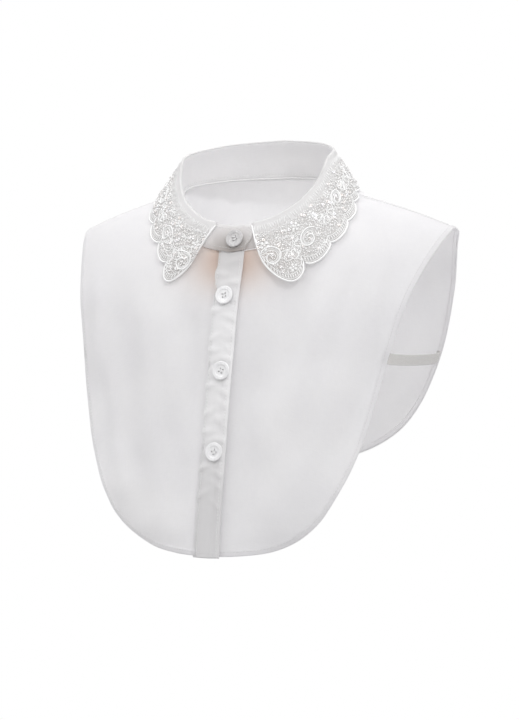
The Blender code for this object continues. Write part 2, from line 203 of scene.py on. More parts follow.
def bare_figure(across, drape):
    front = drape >= 0
    radius = np.where(front, ROUND["front"], ROUND["back"])
    way = np.abs(drape)
    turn = np.minimum(way / radius, math.pi / 2)
    height = curve(SHOULDER_LINE, np.abs(across)) - radius * (1 - np.cos(turn))
    height = height - np.maximum(0, way - radius * math.pi / 2)
    power = np.where(
        front, curve(SQUARENESS["front"], height), curve(SQUARENESS["back"], height)
    )
    side = (1 - np.minimum(np.abs(across) / CHEST_HALF, 1) ** power) ** (1 / power)
    depth = np.where(front, curve(DEPTH["front"], height), curve(DEPTH["back"], height))
    line = 2 + 10 * (np.abs(across) / SHOULDER_TIP) ** 1.5
    return np.stack([across, line - np.sign(drape) * depth * side * np.sin(turn), height], -1)


def drape_at(across, height, part):
    below = np.maximum(curve(SHOULDER_LINE, np.abs(across)) - height, 0)
    radius = ROUND[part]
    curved = radius * np.arccos(np.clip(1 - below / radius, -1, 1))
    way = np.where(below < radius, curved, radius * (math.pi / 2 - 1) + below)
    return way if part == "front" else -way


def neck_drape(turn):
    around = np.cos(turn)
    front = drape_at(0.0, NECK_HEIGHT[0][1], "front")
    behind = -drape_at(0.0, NECK_HEIGHT[-1][1], "back")
    return np.where(around > 0, front, behind) * around


def figure(across, drape):
    across, drape = np.broadcast_arrays(np.asarray(across, float), np.asarray(drape, float))
    reach = np.where(drape >= 0, neck_drape(0.0), -neck_drape(math.pi))
    share = np.hypot(across / NECK_HALF, drape / reach)
    turn = np.arctan2(np.abs(across) / NECK_HALF, drape / reach)
    seam = neck_seam(turn)
    pull = seam - bare_figure(seam[..., 0], neck_drape(turn))
    past = np.hypot(across, drape) * (1 - 1 / np.maximum(share, 1))
    return bare_figure(across, drape) + pull * np.exp(-((past / 45) ** 1.5))[..., None]


def figure_normal(across, drape):
    step = 0.5
    over = figure(across + step, drape) - figure(across - step, drape)
    down = figure(across, drape + step) - figure(across, drape - step)
    return unit(np.cross(down, over))


def on_figure(across, drape, lift=0.0):
    lift = np.asarray(lift, float)[..., None] if np.ndim(lift) else lift
    return figure(across, drape) + lift * figure_normal(across, drape)


def fold_lift(across, drape, part):
    """How far the soft folds lift the cloth off the figure, which is below 0 in a trough."""
    lift = np.zeros(np.broadcast(across, drape).shape)
    for start, end, width, depth in FRONT_FOLDS if part == "front" else BACK_FOLDS:
        near = np.array([start[0], float(drape_at(start[0], start[1], part))])
        far = np.array([end[0], float(drape_at(end[0], end[1], part))])
        way = far - near
        share = ((across - near[0]) * way[0] + (drape - near[1]) * way[1]) / (way @ way)
        bend = 0.08 * np.linalg.norm(way) * np.sin(math.pi * np.clip(share, 0, 1))
        off = ((across - near[0]) * way[1] - (drape - near[1]) * way[0]) / np.linalg.norm(way)
        fade = ease((share + 0.25) / 0.5) * ease((1.25 - share) / 0.5)
        lift -= depth * fade * np.exp(-(((off - bend * 0.5) / width) ** 2))
    return lift


def way_along(path):
    """The distance run along a path at each of its points."""
    return np.concatenate([[0], np.cumsum(np.linalg.norm(np.diff(path, axis=0), axis=1))])


def rows_at(places, run, rows):
    """A path's rows at these distances along it."""
    return np.stack([np.interp(places, run, rows[:, k]) for k in range(rows.shape[1])], -1)


def even_path(path, count):
    run = way_along(path)
    return rows_at(np.linspace(0, run[-1], count), run, path)


def edge_path(part, first_across, count):
    table = np.array(EDGE[part], float)
    knots = np.concatenate([[0], np.cumsum(np.hypot(*np.diff(table, axis=0).T))])
    fine = np.linspace(0, knots[-1], 800)
    across = curve(list(zip(knots, table[:, 0])), fine, rounded=True)
    height = curve(list(zip(knots, table[:, 1])), fine, rounded=True)
    path = np.stack([across, drape_at(across, height, part)], -1)
    sign = 1 if part == "front" else -1
    path = np.concatenate([path, [[SHOULDER_TIP, sign * SHOULDER_GAP / 2]]])
    if first_across < 0:
        mirrored = path[1:][::-1] * (-1, 1)
        path = np.concatenate([mirrored[mirrored[:, 0] >= first_across], path])
    else:
        path = path[path[:, 0] >= first_across]
    path[0, 0] = first_across
    return even_path(path, count)


def neck_path(part, first_across, count):
    turns = np.linspace(math.asin(first_across / NECK_HALF), math.pi / 2, count)
    gap = SHOULDER_GAP / 2
    if part == "front":
        drape = np.maximum(neck_drape(turns), gap)
    else:
        drape = np.minimum(neck_drape(math.pi - turns), -gap)
    return np.stack([NECK_HALF * np.sin(turns), drape], -1)


def button_side_lift(across):
    return -BUTTON_SIDE_DROP * ease((42 - across) / 26)


def wrapped(turn):
    return (turn + math.pi) % (2 * math.pi) - math.pi


def stand_layer(turn):
    lap = (STAND_CLOTH + 0.5) / 2
    outer = ease((math.degrees(turn) + 75) / 50)
    inner = ease((-math.degrees(turn) - 285) / 50)
    return lap * (outer - inner)


def fold_depth(turn):
    return FOLD_DEPTH["front"] if math.cos(turn) > 0 else FOLD_DEPTH["back"]


def ring_out(turn):
    return unit(np.array([math.sin(turn) / FOLD_HALF, -math.cos(turn) / fold_depth(turn), 0.0]))


def stand_point(turn, share):
    seam = neck_seam(np.array(wrapped(turn))) + (0, 0, STAND_LIFT)
    height = float(curve(FOLD_HEIGHT, abs(math.degrees(wrapped(turn)))))
    forward = fold_depth(turn) * math.cos(turn)
    fold = np.array([FOLD_HALF * math.sin(turn), FOLD_SHIFT - forward, height])
    bow = 0.8 * 4 * share * (1 - share)
    return seam + share * (fold - seam) + ring_out(turn) * (stand_layer(turn) + bow)


def stand_end(share):
    if share < 0.5:
        return 12.2 + 4.3 * ease(share / 0.5)
    return 16.5 - 8.0 * ((share - 0.5) / 0.5) ** 2.4


# Making meshes


def deselect():
    for other in bpy.context.selected_objects:
        other.select_set(False)


def select_only(piece):
    deselect()
    piece.select_set(True)
    bpy.context.view_layer.objects.active = piece


def finish(piece, material, angle=None):
    piece.data.materials.clear()
    piece.data.materials.append(material)
    select_only(piece)
    if angle is None:
        bpy.ops.object.shade_smooth()
    else:
        bpy.ops.object.shade_smooth_by_angle(angle=math.radians(angle))
    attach(piece, "root")
    deselect()
    return piece


def cloth(name, points, flat, thickness, material, painted_shade_or_band=None):
    """A sheet through a grid of points, with its flat places in metres as its UV map."""
    rows, columns = points.shape[:2]
    deselect()
    bpy.ops.mesh.primitive_grid_add(x_subdivisions=columns - 1, y_subdivisions=rows - 1)
    piece = bpy.context.object
    piece.name = piece.data.name = name
    mesh = piece.data
    mesh.vertices.foreach_set("co", (points * MM).astype(np.float32).ravel())
    corners = np.empty(len(mesh.loops), np.int32)
    mesh.loops.foreach_get("vertex_index", corners)
    uv = (flat.reshape(-1, 2) * MM)[corners]
    mesh.uv_layers.active.data.foreach_set("uv", uv.astype(np.float32).ravel())
    # Some cloths store painted shade here, others where their hem or fold band lies
    if painted_shade_or_band is not None:
        mesh.attributes.new("painted_shade_or_band", "FLOAT", "POINT").data.foreach_set(
            "value", painted_shade_or_band.astype(np.float32).ravel()
        )
    wall = piece.modifiers.new("wall", "SOLIDIFY")
    wall.thickness = thickness * MM
    wall.offset = 0
    wall.use_even_offset = True
    bpy.ops.object.modifier_apply(modifier="wall")
    return finish(piece, material)


def joined(name, points, faces, material):
    """One mesh of many small closed bodies."""
    mesh = bpy.data.meshes.new(name)
    mesh.from_pydata((points * MM).tolist(), [], faces)
    mesh.update()
    piece = bpy.data.objects.new(name, mesh)
    bpy.context.scene.collection.objects.link(piece)
    return finish(piece, material)


def capsule(stations, sides):
    """A small padded stitch along X, as unit points and faces. Stations are (place, girth) rows."""
    points = []
    for place, girth in stations:
        for k in range(sides):
            turn = 2 * math.pi * (k + 0.5) / sides
            points.append((place, girth * math.cos(turn), girth * math.sin(turn)))
    faces = []
    for s in range(len(stations) - 1):
        for k in range(sides):
            a, b = s * sides + k, s * sides + (k + 1) % sides
            faces.append((a, b, b + sides, a + sides))
    faces.append(tuple(range(sides))[::-1])
    faces.append(tuple(range((len(stations) - 1) * sides, len(stations) * sides)))
    return np.array(points), faces


STITCH = capsule(((-0.5, 0.45), (0.0, 1.0), (0.5, 0.45)), 4)
SATIN = capsule(((-0.5, 0.35), (-0.3, 0.9), (0.1, 1.0), (0.5, 0.3)), 6)


def scattered(name, shape, centres, along, across, up, material, slot):
    """Copies of one small shape, each set by its centre and its three scaled directions."""
    points, faces = shape
    placed = (
        centres[:, None]
        + points[None, :, 0, None] * along[:, None]
        + points[None, :, 1, None] * across[:, None]
        + points[None, :, 2, None] * up[:, None]
    )
    every = [
        tuple(corner + copy * len(points) for corner in face)
        for copy in range(len(centres))
        for face in faces
    ]
    return joined(name, placed.reshape(-1, 3), every, material)


def stitches_along(path, normals):
    """Places for a row of stitches on a path: centres and their directions."""
    run = way_along(path)
    first, last = STITCH_GAP, run[-1] - STITCH_LENGTH
    places = np.arange(first, last, STITCH_LENGTH + STITCH_GAP) + STITCH_LENGTH / 2
    normal = unit(rows_at(places, run, normals))
    along = unit(rows_at(places + 0.3, run, path) - rows_at(places - 0.3, run, path))
    across = unit(np.cross(normal, along))
    return (
        rows_at(places, run, path) + normal * (STITCH_GIRTH * 0.25),
        along * STITCH_LENGTH,
        across * STITCH_GIRTH * 0.5,
        np.cross(along, across) * STITCH_GIRTH * 0.42,
    )


def tubes(name, runs, material, sides=6):
    """Round cords along paths: each run is (points, normals, half width, half height)."""
    points, faces, start = [], [], 0
    for path, normals, half_width, half_height in runs:
        path = np.asarray(path, float)
        ahead = unit(np.gradient(path, axis=0))
        normals = unit(normals - (normals * ahead).sum(-1, keepdims=True) * ahead)
        side = np.cross(ahead, normals)
        girth = np.ones(len(path))
        girth[0] = girth[-1] = 0.45
        for k in range(len(path)):
            for s in range(sides):
                turn = 2 * math.pi * (s + 0.5) / sides
                points.append(
                    path[k]
                    + girth[k] * half_width * math.cos(turn) * side[k]
                    + girth[k] * half_height * math.sin(turn) * normals[k]
                )
        for k in range(len(path) - 1):
            for s in range(sides):
                a = start + k * sides + s
                b = start + k * sides + (s + 1) % sides
                faces.append((a, b, b + sides, a + sides)[::-1])
        faces.append(tuple(range(start, start + sides)))
        last = start + (len(path) - 1) * sides
        faces.append(tuple(range(last, last + sides))[::-1])
        start = last + sides
    return joined(name, np.array(points), faces, material)


# Materials

VOILE_PITCH = 0.00042  # thread spacings, in metres
NET_PITCH = 0.0007
RIB_PITCH = 0.0013
WAVE_SCALE = 0.314  # the wave texture's scale for one band in each metre


def new_material(name):
    made = bpy.data.materials.new(name)
    made.use_nodes = True
    tree = made.node_tree
    return made, tree, tree.nodes["Principled BSDF"], tree.nodes["Material Output"].inputs["Surface"]


def on_cloth(tree):
    """The flat place on the cloth, in metres."""
    return tree.nodes.new("ShaderNodeUVMap").outputs["UV"]


def in_space(tree):
    return tree.nodes.new("ShaderNodeTexCoord").outputs["Object"]


def painted_shade_or_band_of(tree):
    """The painted shade, or the hem or fold band, that a cloth stores at its points, from 0 to 1."""
    made = tree.nodes.new("ShaderNodeAttribute")
    made.attribute_name = "painted_shade_or_band"
    return made.outputs["Fac"]


def between(tree, value, low, high):
    made = tree.nodes.new("ShaderNodeMapRange")
    made.inputs["To Min"].default_value = low
    made.inputs["To Max"].default_value = high
    tree.links.new(value, made.inputs["Value"])
    return made.outputs[0]


def mixed(tree, amount, first, second):
    """Two finishes in one: at 0 all the first, at 1 all the second."""
    made = tree.nodes.new("ShaderNodeMixShader")
    if isinstance(amount, float):
        made.inputs[0].default_value = amount
    else:
        tree.links.new(amount, made.inputs[0])
    tree.links.new(first, made.inputs[1])
    tree.links.new(second, made.inputs[2])
    return made.outputs[0]


def lit_through(tree, amount, shader, colour):
    """A finish that lets some of the light behind it through."""
    glow = tree.nodes.new("ShaderNodeBsdfTranslucent")
    tree.links.new(colour, glow.inputs["Color"])
    return mixed(tree, amount, shader.outputs[0], glow.outputs[0])


def dress(tree, shader, colour, amounts, relief=None):
    """Gives a shader its colour, its named amounts and its relief."""
    tree.links.new(colour, shader.inputs["Base Color"])
    for name, amount in amounts.items():
        shader.inputs[name].default_value = amount
    if relief is not None:
        tree.links.new(relief, shader.inputs["Normal"])


def threads(tree, pitch, uv):
    """Height of a plain weave on the UV map: threads over and under at this pitch in metres."""
    waves = []
    for direction in ("X", "Y"):
        wave = tree.nodes.new("ShaderNodeTexWave")
        wave.bands_direction = direction
        wave.inputs["Scale"].default_value = WAVE_SCALE / pitch
        wave.inputs["Distortion"].default_value = 0.6
        wave.inputs["Detail"].default_value = 1.0
        wave.inputs["Detail Scale"].default_value = 0.4
        tree.links.new(uv, wave.inputs["Vector"])
        waves.append(wave)
    both = tree.nodes.new("ShaderNodeMath")
    both.operation = "ADD"
    tree.links.new(waves[0].outputs["Fac"], both.inputs[0])
    tree.links.new(waves[1].outputs["Fac"], both.inputs[1])
    return both.outputs[0]


def noise(tree, vector, scale, detail, rough=0.5):
    made = tree.nodes.new("ShaderNodeTexNoise")
    made.inputs["Scale"].default_value = scale
    made.inputs["Detail"].default_value = detail
    made.inputs["Roughness"].default_value = rough
    tree.links.new(vector, made.inputs["Vector"])
    return made.outputs["Fac"]


def stretched(tree, vector, scale):
    made = tree.nodes.new("ShaderNodeMapping")
    made.inputs["Scale"].default_value = scale
    tree.links.new(vector, made.inputs["Vector"])
    return made.outputs["Vector"]


def ramp(tree, value, low, high, start=0.3, end=0.7):
    made = tree.nodes.new("ShaderNodeValToRGB")
    made.color_ramp.elements[0].position = start
    made.color_ramp.elements[0].color = (*low, 1)
    made.color_ramp.elements[1].position = end
    made.color_ramp.elements[1].color = (*high, 1)
    tree.links.new(value, made.inputs["Fac"])
    return made.outputs["Color"]


def blend(tree, mode, amount, first, second):
    made = tree.nodes.new("ShaderNodeMix")
    made.data_type = "RGBA"
    made.blend_type = mode
    if isinstance(amount, float):
        made.inputs[0].default_value = amount
    else:
        tree.links.new(amount, made.inputs[0])
    for place, colour in ((6, first), (7, second)):
        if isinstance(colour, tuple):
            made.inputs[place].default_value = (*colour, 1)
        else:
            tree.links.new(colour, made.inputs[place])
    return made.outputs[2]


def bump(tree, height, strength, distance, before=None):
    made = tree.nodes.new("ShaderNodeBump")
    made.inputs["Strength"].default_value = strength
    made.inputs["Distance"].default_value = distance
    tree.links.new(height, made.inputs["Height"])
    if before is not None:
        tree.links.new(before, made.inputs["Normal"])
    return made.outputs["Normal"]


def cotton_voile(name, colour, through, weave=0.25, painted_shade=None, in_hem=None):
    """White cotton: a fine plain weave with uneven threads, soft crumple and a little sheen.
    A stored amount turns it towards a colour painted in as shade, or lets more light through where its hem is
    turned."""
    made, tree, shader, surface = new_material(name)
    uv, place = on_cloth(tree), in_space(tree)
    slub = noise(tree, stretched(tree, uv, (160, 1800, 1)), 1.0, 3.0)
    slub_down = noise(tree, stretched(tree, uv, (1500, 120, 1)), 1.0, 3.0)
    cloudy = noise(tree, place, 26.0, 3.0)
    tone = ramp(tree, slub, (0.97,) * 3, (1, 1, 1))
    tone = blend(tree, "MULTIPLY", 0.7, tone, ramp(tree, slub_down, (0.97,) * 3, (1, 1, 1)))
    tone = blend(tree, "MULTIPLY", 0.6, tone, ramp(tree, cloudy, (0.965, 0.965, 0.972), (1, 1, 1)))
    shown = blend(tree, "MULTIPLY", 1.0, tone, colour)
    # Mixes in the colour painted in as shade, by the stored amount
    if painted_shade:
        shown = blend(tree, "MIX", painted_shade_or_band_of(tree), shown, painted_shade)
    crumple = bump(tree, noise(tree, place, 95.0, 4.0, 0.55), 0.35, 0.0006)
    woven = bump(tree, threads(tree, VOILE_PITCH, uv), weave, 0.00008, crumple)
    dress(tree, shader, shown, {
        "Roughness": 0.62, "Specular IOR Level": 0.35, "Sheen Weight": 0.22, "Sheen Roughness": 0.4,
    }, woven)
    passed = between(tree, painted_shade_or_band_of(tree), through, in_hem) if in_hem else through
    tree.links.new(lit_through(tree, passed, shader, shown), surface)
    return made


def organza():
    """Fine sheer net, a little greyer than the stitching on it, and closed where it is tinted."""
    made, tree, shader, surface = new_material("organza")
    uv = on_cloth(tree)
    net = threads(tree, NET_PITCH, uv)
    uneven = noise(tree, stretched(tree, uv, (260, 260, 1)), 1.0, 3.0)
    shown = blend(
        tree, "MULTIPLY", 1.0,
        ramp(tree, net, (0.86, 0.855, 0.85), (1, 1, 1), 0.2, 0.8),
        ramp(tree, uneven, (0.86, 0.85, 0.84), (0.93, 0.92, 0.91)),
    )
    shown = blend(tree, "MIX", painted_shade_or_band_of(tree), shown, (0.9, 0.895, 0.895))
    relief = bump(tree, net, 0.35, 0.0001)
    dress(tree, shader, shown, {
        "Roughness": 0.42, "Specular IOR Level": 0.4, "Sheen Weight": 0.15,
    }, relief)
    clear = tree.nodes.new("ShaderNodeBsdfTransparent").outputs[0]
    open_net = between(tree, painted_shade_or_band_of(tree), 0.45, 0.03)
    tree.links.new(mixed(tree, open_net, lit_through(tree, 0.5, shader, shown), clear), surface)
    return made


def thread(name, colour, rough=0.45):
    """Twisted thread: fine slanting ridges over a silky white."""
    made, tree, shader, _ = new_material(name)
    strands = noise(tree, in_space(tree), 2600.0, 2.0)
    shown = blend(tree, "MULTIPLY", 1.0, ramp(tree, strands, (0.9,) * 3, (1, 1, 1)), colour)
    relief = bump(tree, strands, 0.3, 0.0001)
    dress(tree, shader, shown, {"Roughness": rough, "Sheen Weight": 0.2}, relief)
    return made


def glass_bead():
    made, tree, shader, _ = new_material("bead_pearl")
    tone = noise(tree, in_space(tree), 420.0, 1.0)
    shown = ramp(tree, tone, (0.86, 0.84, 0.82), (0.96, 0.96, 0.97))
    dress(tree, shader, shown, {"Roughness": 0.3, "Coat Weight": 0.2, "Coat Roughness": 0.15})
    return made


def sequin_film():
    made, tree, shader, _ = new_material("sequin_film")
    tone = noise(tree, in_space(tree), 240.0, 1.0)
    shown = ramp(tree, tone, (0.84, 0.78, 0.74), (0.9, 0.91, 0.94))
    dress(tree, shader, shown, {"Roughness": 0.2, "Metallic": 0.35, "Coat Weight": 0.5})
    return made


def shell_button(name, low, high):
    """Pearly shell: soft cloudy bands under a clear gloss."""
    made, tree, shader, surface = new_material(name)
    bands = noise(tree, stretched(tree, in_space(tree), (520, 520, 240)), 1.0, 3.0, 0.7)
    shown = ramp(tree, bands, low, high, 0.3, 0.68)
    relief = bump(tree, bands, 0.3, 0.0003)
    dress(tree, shader, shown, {"Roughness": 0.3, "Coat Weight": 0.25, "Coat Roughness": 0.12}, relief)
    tree.links.new(lit_through(tree, 0.2, shader, shown), surface)
    return made


def rib_elastic():
    """Knitted rib elastic, a dull beige grey, darker between the ribs."""
    made, tree, shader, _ = new_material("elastic_rib")
    knit = threads(tree, RIB_PITCH, stretched(tree, on_cloth(tree), (1, 2.2, 1)))
    shown = ramp(tree, knit, (0.34, 0.325, 0.31), (0.7, 0.685, 0.675), 0.1, 0.9)
    relief = bump(tree, knit, 0.6, 0.0002)
    dress(tree, shader, shown, {"Roughness": 0.8, "Sheen Weight": 0.2}, relief)
    return made


VOILE_COLOUR = (0.955, 0.95, 0.955)
# Lighter than the body cloth: painted light that offsets the shade in the turned hems
HEM_PAINTED_LIGHT_COLOUR = (0.97, 0.965, 0.97)
BACK_HEM_PAINTED_LIGHT_COLOUR = (0.985, 0.98, 0.985)
BAND_COLOUR = (0.965, 0.96, 0.965)
PLACKET_COLOUR = (0.945, 0.94, 0.945)
# A warm colour painted in as shade beside the stand's ends
WARM_PAINTED_SHADE = (0.66, 0.47, 0.35)
# A grey colour painted in as shade on the placket
GREY_PAINTED_SHADE = (0.66, 0.65, 0.655)
STAND_SHADE = (0.47, 0.415, 0.38)
voile = cotton_voile("cotton_voile", VOILE_COLOUR, 0.6, painted_shade=WARM_PAINTED_SHADE)
voile_back = cotton_voile("cotton_back", VOILE_COLOUR, 0.4, in_hem=0.93)
voile_hem = cotton_voile("cotton_hem", HEM_PAINTED_LIGHT_COLOUR, 0.92)
voile_back_hem = cotton_voile("cotton_back_hem", BACK_HEM_PAINTED_LIGHT_COLOUR, 0.6)
voile_band = cotton_voile("cotton_band", BAND_COLOUR, 0.5, 0.35, STAND_SHADE)
placket_band = cotton_voile("cotton_placket", PLACKET_COLOUR, 0.3, 0.3, GREY_PAINTED_SHADE)
sewing = thread("sewing_thread", (0.84, 0.835, 0.835))
silk = thread("embroidery_silk", (0.9, 0.9, 0.9), 0.36)
net = organza()
pearl = glass_bead()
film = sequin_film()
shell = shell_button("button_shell", (0.84, 0.835, 0.85), (0.97, 0.97, 0.975))
# A darker copy of the shell: painted shade for the button on the stand
shell_painted_shade = shell_button("button_shell_painted_shade", (0.52, 0.51, 0.515), (0.72, 0.71, 0.71))
elastic = rib_elastic()


# The body panels

ROWS_FROM_EDGE = (0.0, 0.25, 0.9, 2.0, 3.2, 3.9, 4.25, 4.9, 6.2)
HEM_ROWS = (0.35, 1.5, 2.8, HEM_WIDTH)
HEM_UNDER = VOILE + 0.12
SEAM_BAND = 6.0
LEFT_START = -12.0  # how far across each front begins, from its own side
RIGHT_START = PLACKET_HALF - 3.0
RIGHT_HEM_START = PLACKET_HALF + SEAM_GAP
TAB_SHADE = {"middle": (0.0, -72.0, -58.0), "reach": (34.0, 30.0, 22.0), "most": 0.75}


def panel(part, first_across, columns, rows_inside):
    """A panel's grid as (across, drape), with close rows where its hem is turned."""
    neck = neck_path(part, first_across, columns)
    edge = edge_path(part, first_across, columns)
    length = np.linalg.norm(edge - neck, axis=1)
    last = 1 - ROWS_FROM_EDGE[-1] / length
    rows = [share * last for share in np.linspace(0, 1, rows_inside)]
    rows += [1 - off / length for off in ROWS_FROM_EDGE[-2::-1]]
    share = np.array(rows)[:, :, None]
    flat = neck + share * (edge - neck)
    off_edge = (1 - share[:, :, 0]) * length
    return flat, off_edge


def in_turned_hem(off_edge):
    """From 1 in the turned hem to 0 past it, by the distance from the edge."""
    return 1 - ease((off_edge - HEM_WIDTH + 0.3) / 0.6)


def turned_hem(off_edge):
    """How far the turned hem lifts the cloth."""
    return HEM_RISE * in_turned_hem(off_edge) * ease((off_edge + 0.2) / 0.5)


def seam_ridge(drape):
    """The felled shoulder seam stands up a little over its band."""
    return 0.35 * ease((SEAM_BAND - np.abs(drape)) / 0.7)


def painted_tab_shade(points):
    """Painted warm shade beside the stand's ends: how much, from 0 to its most."""
    off = (points - TAB_SHADE["middle"]) / TAB_SHADE["reach"]
    return TAB_SHADE["most"] * np.exp(-(off**2).sum(-1))


def panel_lift(across, drape, part, button_side):
    """How far the folds, and on the button side the drop under the placket, lift the cloth."""
    lift = fold_lift(across, drape, part)
    return lift + button_side_lift(across) if button_side else lift


def front(name, side, first_across, button_side):
    flat, off_edge = panel("front", first_across, 132, 96)
    across, drape = flat[..., 0] * side, flat[..., 1]
    lift = panel_lift(across, drape, "front", button_side) + turned_hem(off_edge) + seam_ridge(drape)
    points = on_figure(across, drape, lift)
    # The front cloths carry painted warm shade beside the stand's ends
    return cloth(name, points, np.stack([across, drape], -1), VOILE, voile,
                 painted_tab_shade(points))


def from_edge(part, first_across, columns, distances):
    """Flat places at these distances in from a panel's edge."""
    edge = edge_path(part, first_across, columns)
    way = unit(neck_path(part, first_across, columns) - edge)
    return np.array([edge + way * off for off in distances])


def hem_strip(name, part, side, first_across, columns, button_side=False):
    """The turned edge on the inside of a panel, a narrow second layer."""
    flat = from_edge(part, first_across, columns, HEM_ROWS)
    across, drape = flat[..., 0] * side, flat[..., 1]
    off_edge = np.array(HEM_ROWS)[:, None] * np.ones(columns)
    lift = panel_lift(across, drape, part, button_side) + turned_hem(off_edge) - HEM_UNDER
    points = on_figure(across, drape, lift)
    turned = voile_hem if part == "front" else voile_back_hem
    return cloth(name, points, np.stack([across, drape], -1), VOILE * 0.8, turned)


def hem_stitches(part, side, first_across, off, button_side=False):
    """The row of stitches that holds a hem, on the cloth's outer face."""
    flat = from_edge(part, first_across, 420, (off,))[0]
    across, drape = flat[:, 0] * side, flat[:, 1]
    lift = panel_lift(across, drape, part, button_side) + HEM_RISE + VOILE / 2
    return on_figure(across, drape, lift), figure_normal(across, drape)


def whole_back():
    half, off_edge = panel("back", 0.0, 112, 90)
    flat = np.concatenate([half[:, :0:-1] * (-1, 1), half], axis=1)
    off_edge = np.concatenate([off_edge[:, :0:-1], off_edge], axis=1)
    across, drape = flat[..., 0], flat[..., 1]
    lift = fold_lift(across, drape, "back") + turned_hem(off_edge) + seam_ridge(drape)
    return cloth("back_cloth", on_figure(across, drape, lift), flat, VOILE, voile_back,
                 in_turned_hem(off_edge))


front_left = front("front_left_cloth", 1, LEFT_START, True)
front_right = front("front_right_cloth", -1, RIGHT_START, False)
back = whole_back()

hem_left = hem_strip("hem_front_left", "front", 1, LEFT_START, 200, True)
hem_right = hem_strip("hem_front_right", "front", -1, RIGHT_HEM_START, 200)
hem_back_left = hem_strip("hem_back_left", "back", 1, 0.0, 170)
hem_back_right = hem_strip("hem_back_right", "back", -1, 0.0, 170)


# The front placket


PLACKET_LIFT = 0.3
PLACKET_STITCH = 2.6  # in from its edge


def placket_ends(across):
    top = neck_drape(np.arcsin(across / NECK_HALF))
    hem = edge_path("front", -20.0, 400)
    bottom = np.interp(across, hem[:, 0], hem[:, 1]) + 1.5
    return top, bottom


PULLS = (  # drape offset from a button, side, reach across, half height, height of the ridge
    (10, -1, 0.9, 2.6, 0.9), (15, 1, 0.8, 3.0, 0.8), (-10, 1, 0.9, 2.6, 0.9),
    (-16, -1, 0.8, 2.8, 0.7), (24, 1, 0.8, 3.4, 0.6), (30, -1, 0.8, 3.0, 0.65),
    (-26, 1, 0.7, 3.2, 0.55), (-5, -1, 0.6, 2.0, -0.5), (5, 1, 0.6, 2.0, -0.45),
    (38, 1, 0.7, 3.0, 0.4),
)


def placket_lift(across, drape):
    """Pulls in the placket that run out from each buttonhole, and its two folded sides."""
    lift = np.zeros(np.broadcast(across, drape).shape)
    for _, button_across, height in BUTTONS:
        middle = float(drape_at(float(button_across), height, "front"))
        for offset, side, reach, half, rise in PULLS:
            slant = offset * 0.12 * side
            near = (drape - middle - offset - slant * across / PLACKET_HALF) / half
            fade = ease(0.5 + side * across / (2 * PLACKET_HALF * reach))
            lift += rise * fade * np.exp(-(near**2))
    edge_off = PLACKET_HALF - np.abs(across)
    lift = lift * ease(0.25 + edge_off / 4.0)
    stitch_dip = -0.16 * np.exp(-(((edge_off - PLACKET_STITCH) / 0.55) ** 2))
    free = ease((across - 3.0) / 8.0) * (0.3 + 2.9 * ease((drape - 170.0) / 60.0))
    sway = 0.35 * np.sin(drape * 0.083 + 0.6) * ease((across - 4.0) / 7.0)
    sewn_in = -0.66 * (1 - ease((across + PLACKET_HALF) / 7.0))
    rounded = 0.2 * (1 - ease((PLACKET_HALF - across) / 1.0))
    return lift + stitch_dip + free + sway + sewn_in - rounded


PLACKET_ACROSS = np.concatenate([
    [-11.8, -11.6, -11.2, -10.6], np.linspace(-9.9, -8.4, 6), np.linspace(-7.4, 7.4, 17),
    np.linspace(8.4, 9.9, 6), [10.6, 11.2, 11.6, 11.8],
])


def on_placket(across, drape, off=0.0):
    """Places on the placket, off its middle surface: it has its own pulls over the front's folds."""
    lift = PLACKET_LIFT + fold_lift(across, drape, "front") + placket_lift(across, drape)
    return on_figure(across, drape, lift + off)


def front_placket():
    """The band, with grey shade painted into its colour: beside the stand's ends, and more towards its foot.
    """
    top, bottom = placket_ends(PLACKET_ACROSS)
    drape = top + np.linspace(0, 1, 260)[:, None] * (bottom - top)
    across = np.broadcast_to(PLACKET_ACROSS, drape.shape)
    points = on_placket(across, drape)
    shade = painted_tab_shade(points) * 0.9
    # Painted shade, darker towards the foot of the placket
    shade += 0.12 * ease((drape - 200) / 60) + 0.42 * ease((drape - 260) / 50)
    return cloth("placket_cloth", points, np.stack([across, drape], -1), STAND_VOILE,
                 placket_band, shade)


placket = front_placket()


# The stand

STAND_COLUMNS = 300
STAND_FLAT = (420.0, 30.0)
STAND_SHARES = np.concatenate([
    [-0.05, -0.038, 0, 0.05], np.linspace(0.09, 0.9, 14), [0.95, 0.99, 1.022],
])


def collar_stand():
    """The band round the neck, from under the neck seam to the fold, with its ends overlapped."""
    points = []
    for share in STAND_SHARES:
        reach = math.asin(stand_end(max(share, 0)) / FOLD_HALF)
        turns = np.linspace(reach, -2 * math.pi - reach, STAND_COLUMNS)
        points.append([stand_point(turn, share) for turn in turns])
    points = np.array(points)
    run, height = np.meshgrid(np.linspace(0, STAND_FLAT[0], STAND_COLUMNS), STAND_SHARES * STAND_FLAT[1])
    shade = np.clip(painted_tab_shade(points) * 1.15, 0, 1)
    return cloth("stand_cloth", points, np.stack([run, height], -1), STAND_VOILE, voile_band,
                 shade)


stand = collar_stand()


# The lace collar

LEAF_SHARES = np.linspace(0, 1, 30)
LEAF_MIDDLE = 15
SCALLOP_STEPS = 16


def fold_turn_of(point):
    """The angle round from the front, on the fold, that lies inside this point."""
    forward = FOLD_SHIFT - point[1]
    depth = FOLD_DEPTH["front"] if forward > 0 else FOLD_DEPTH["back"]
    return math.atan2(abs(point[0]) / FOLD_HALF, forward / depth)


def front_plan(side):
    first, radius, _ = SCALLOPS[side][0]
    turn = math.radians(first)
    return fold_turn_of(figure(radius * math.sin(turn), EDGE_CENTRE + radius * math.cos(turn)))


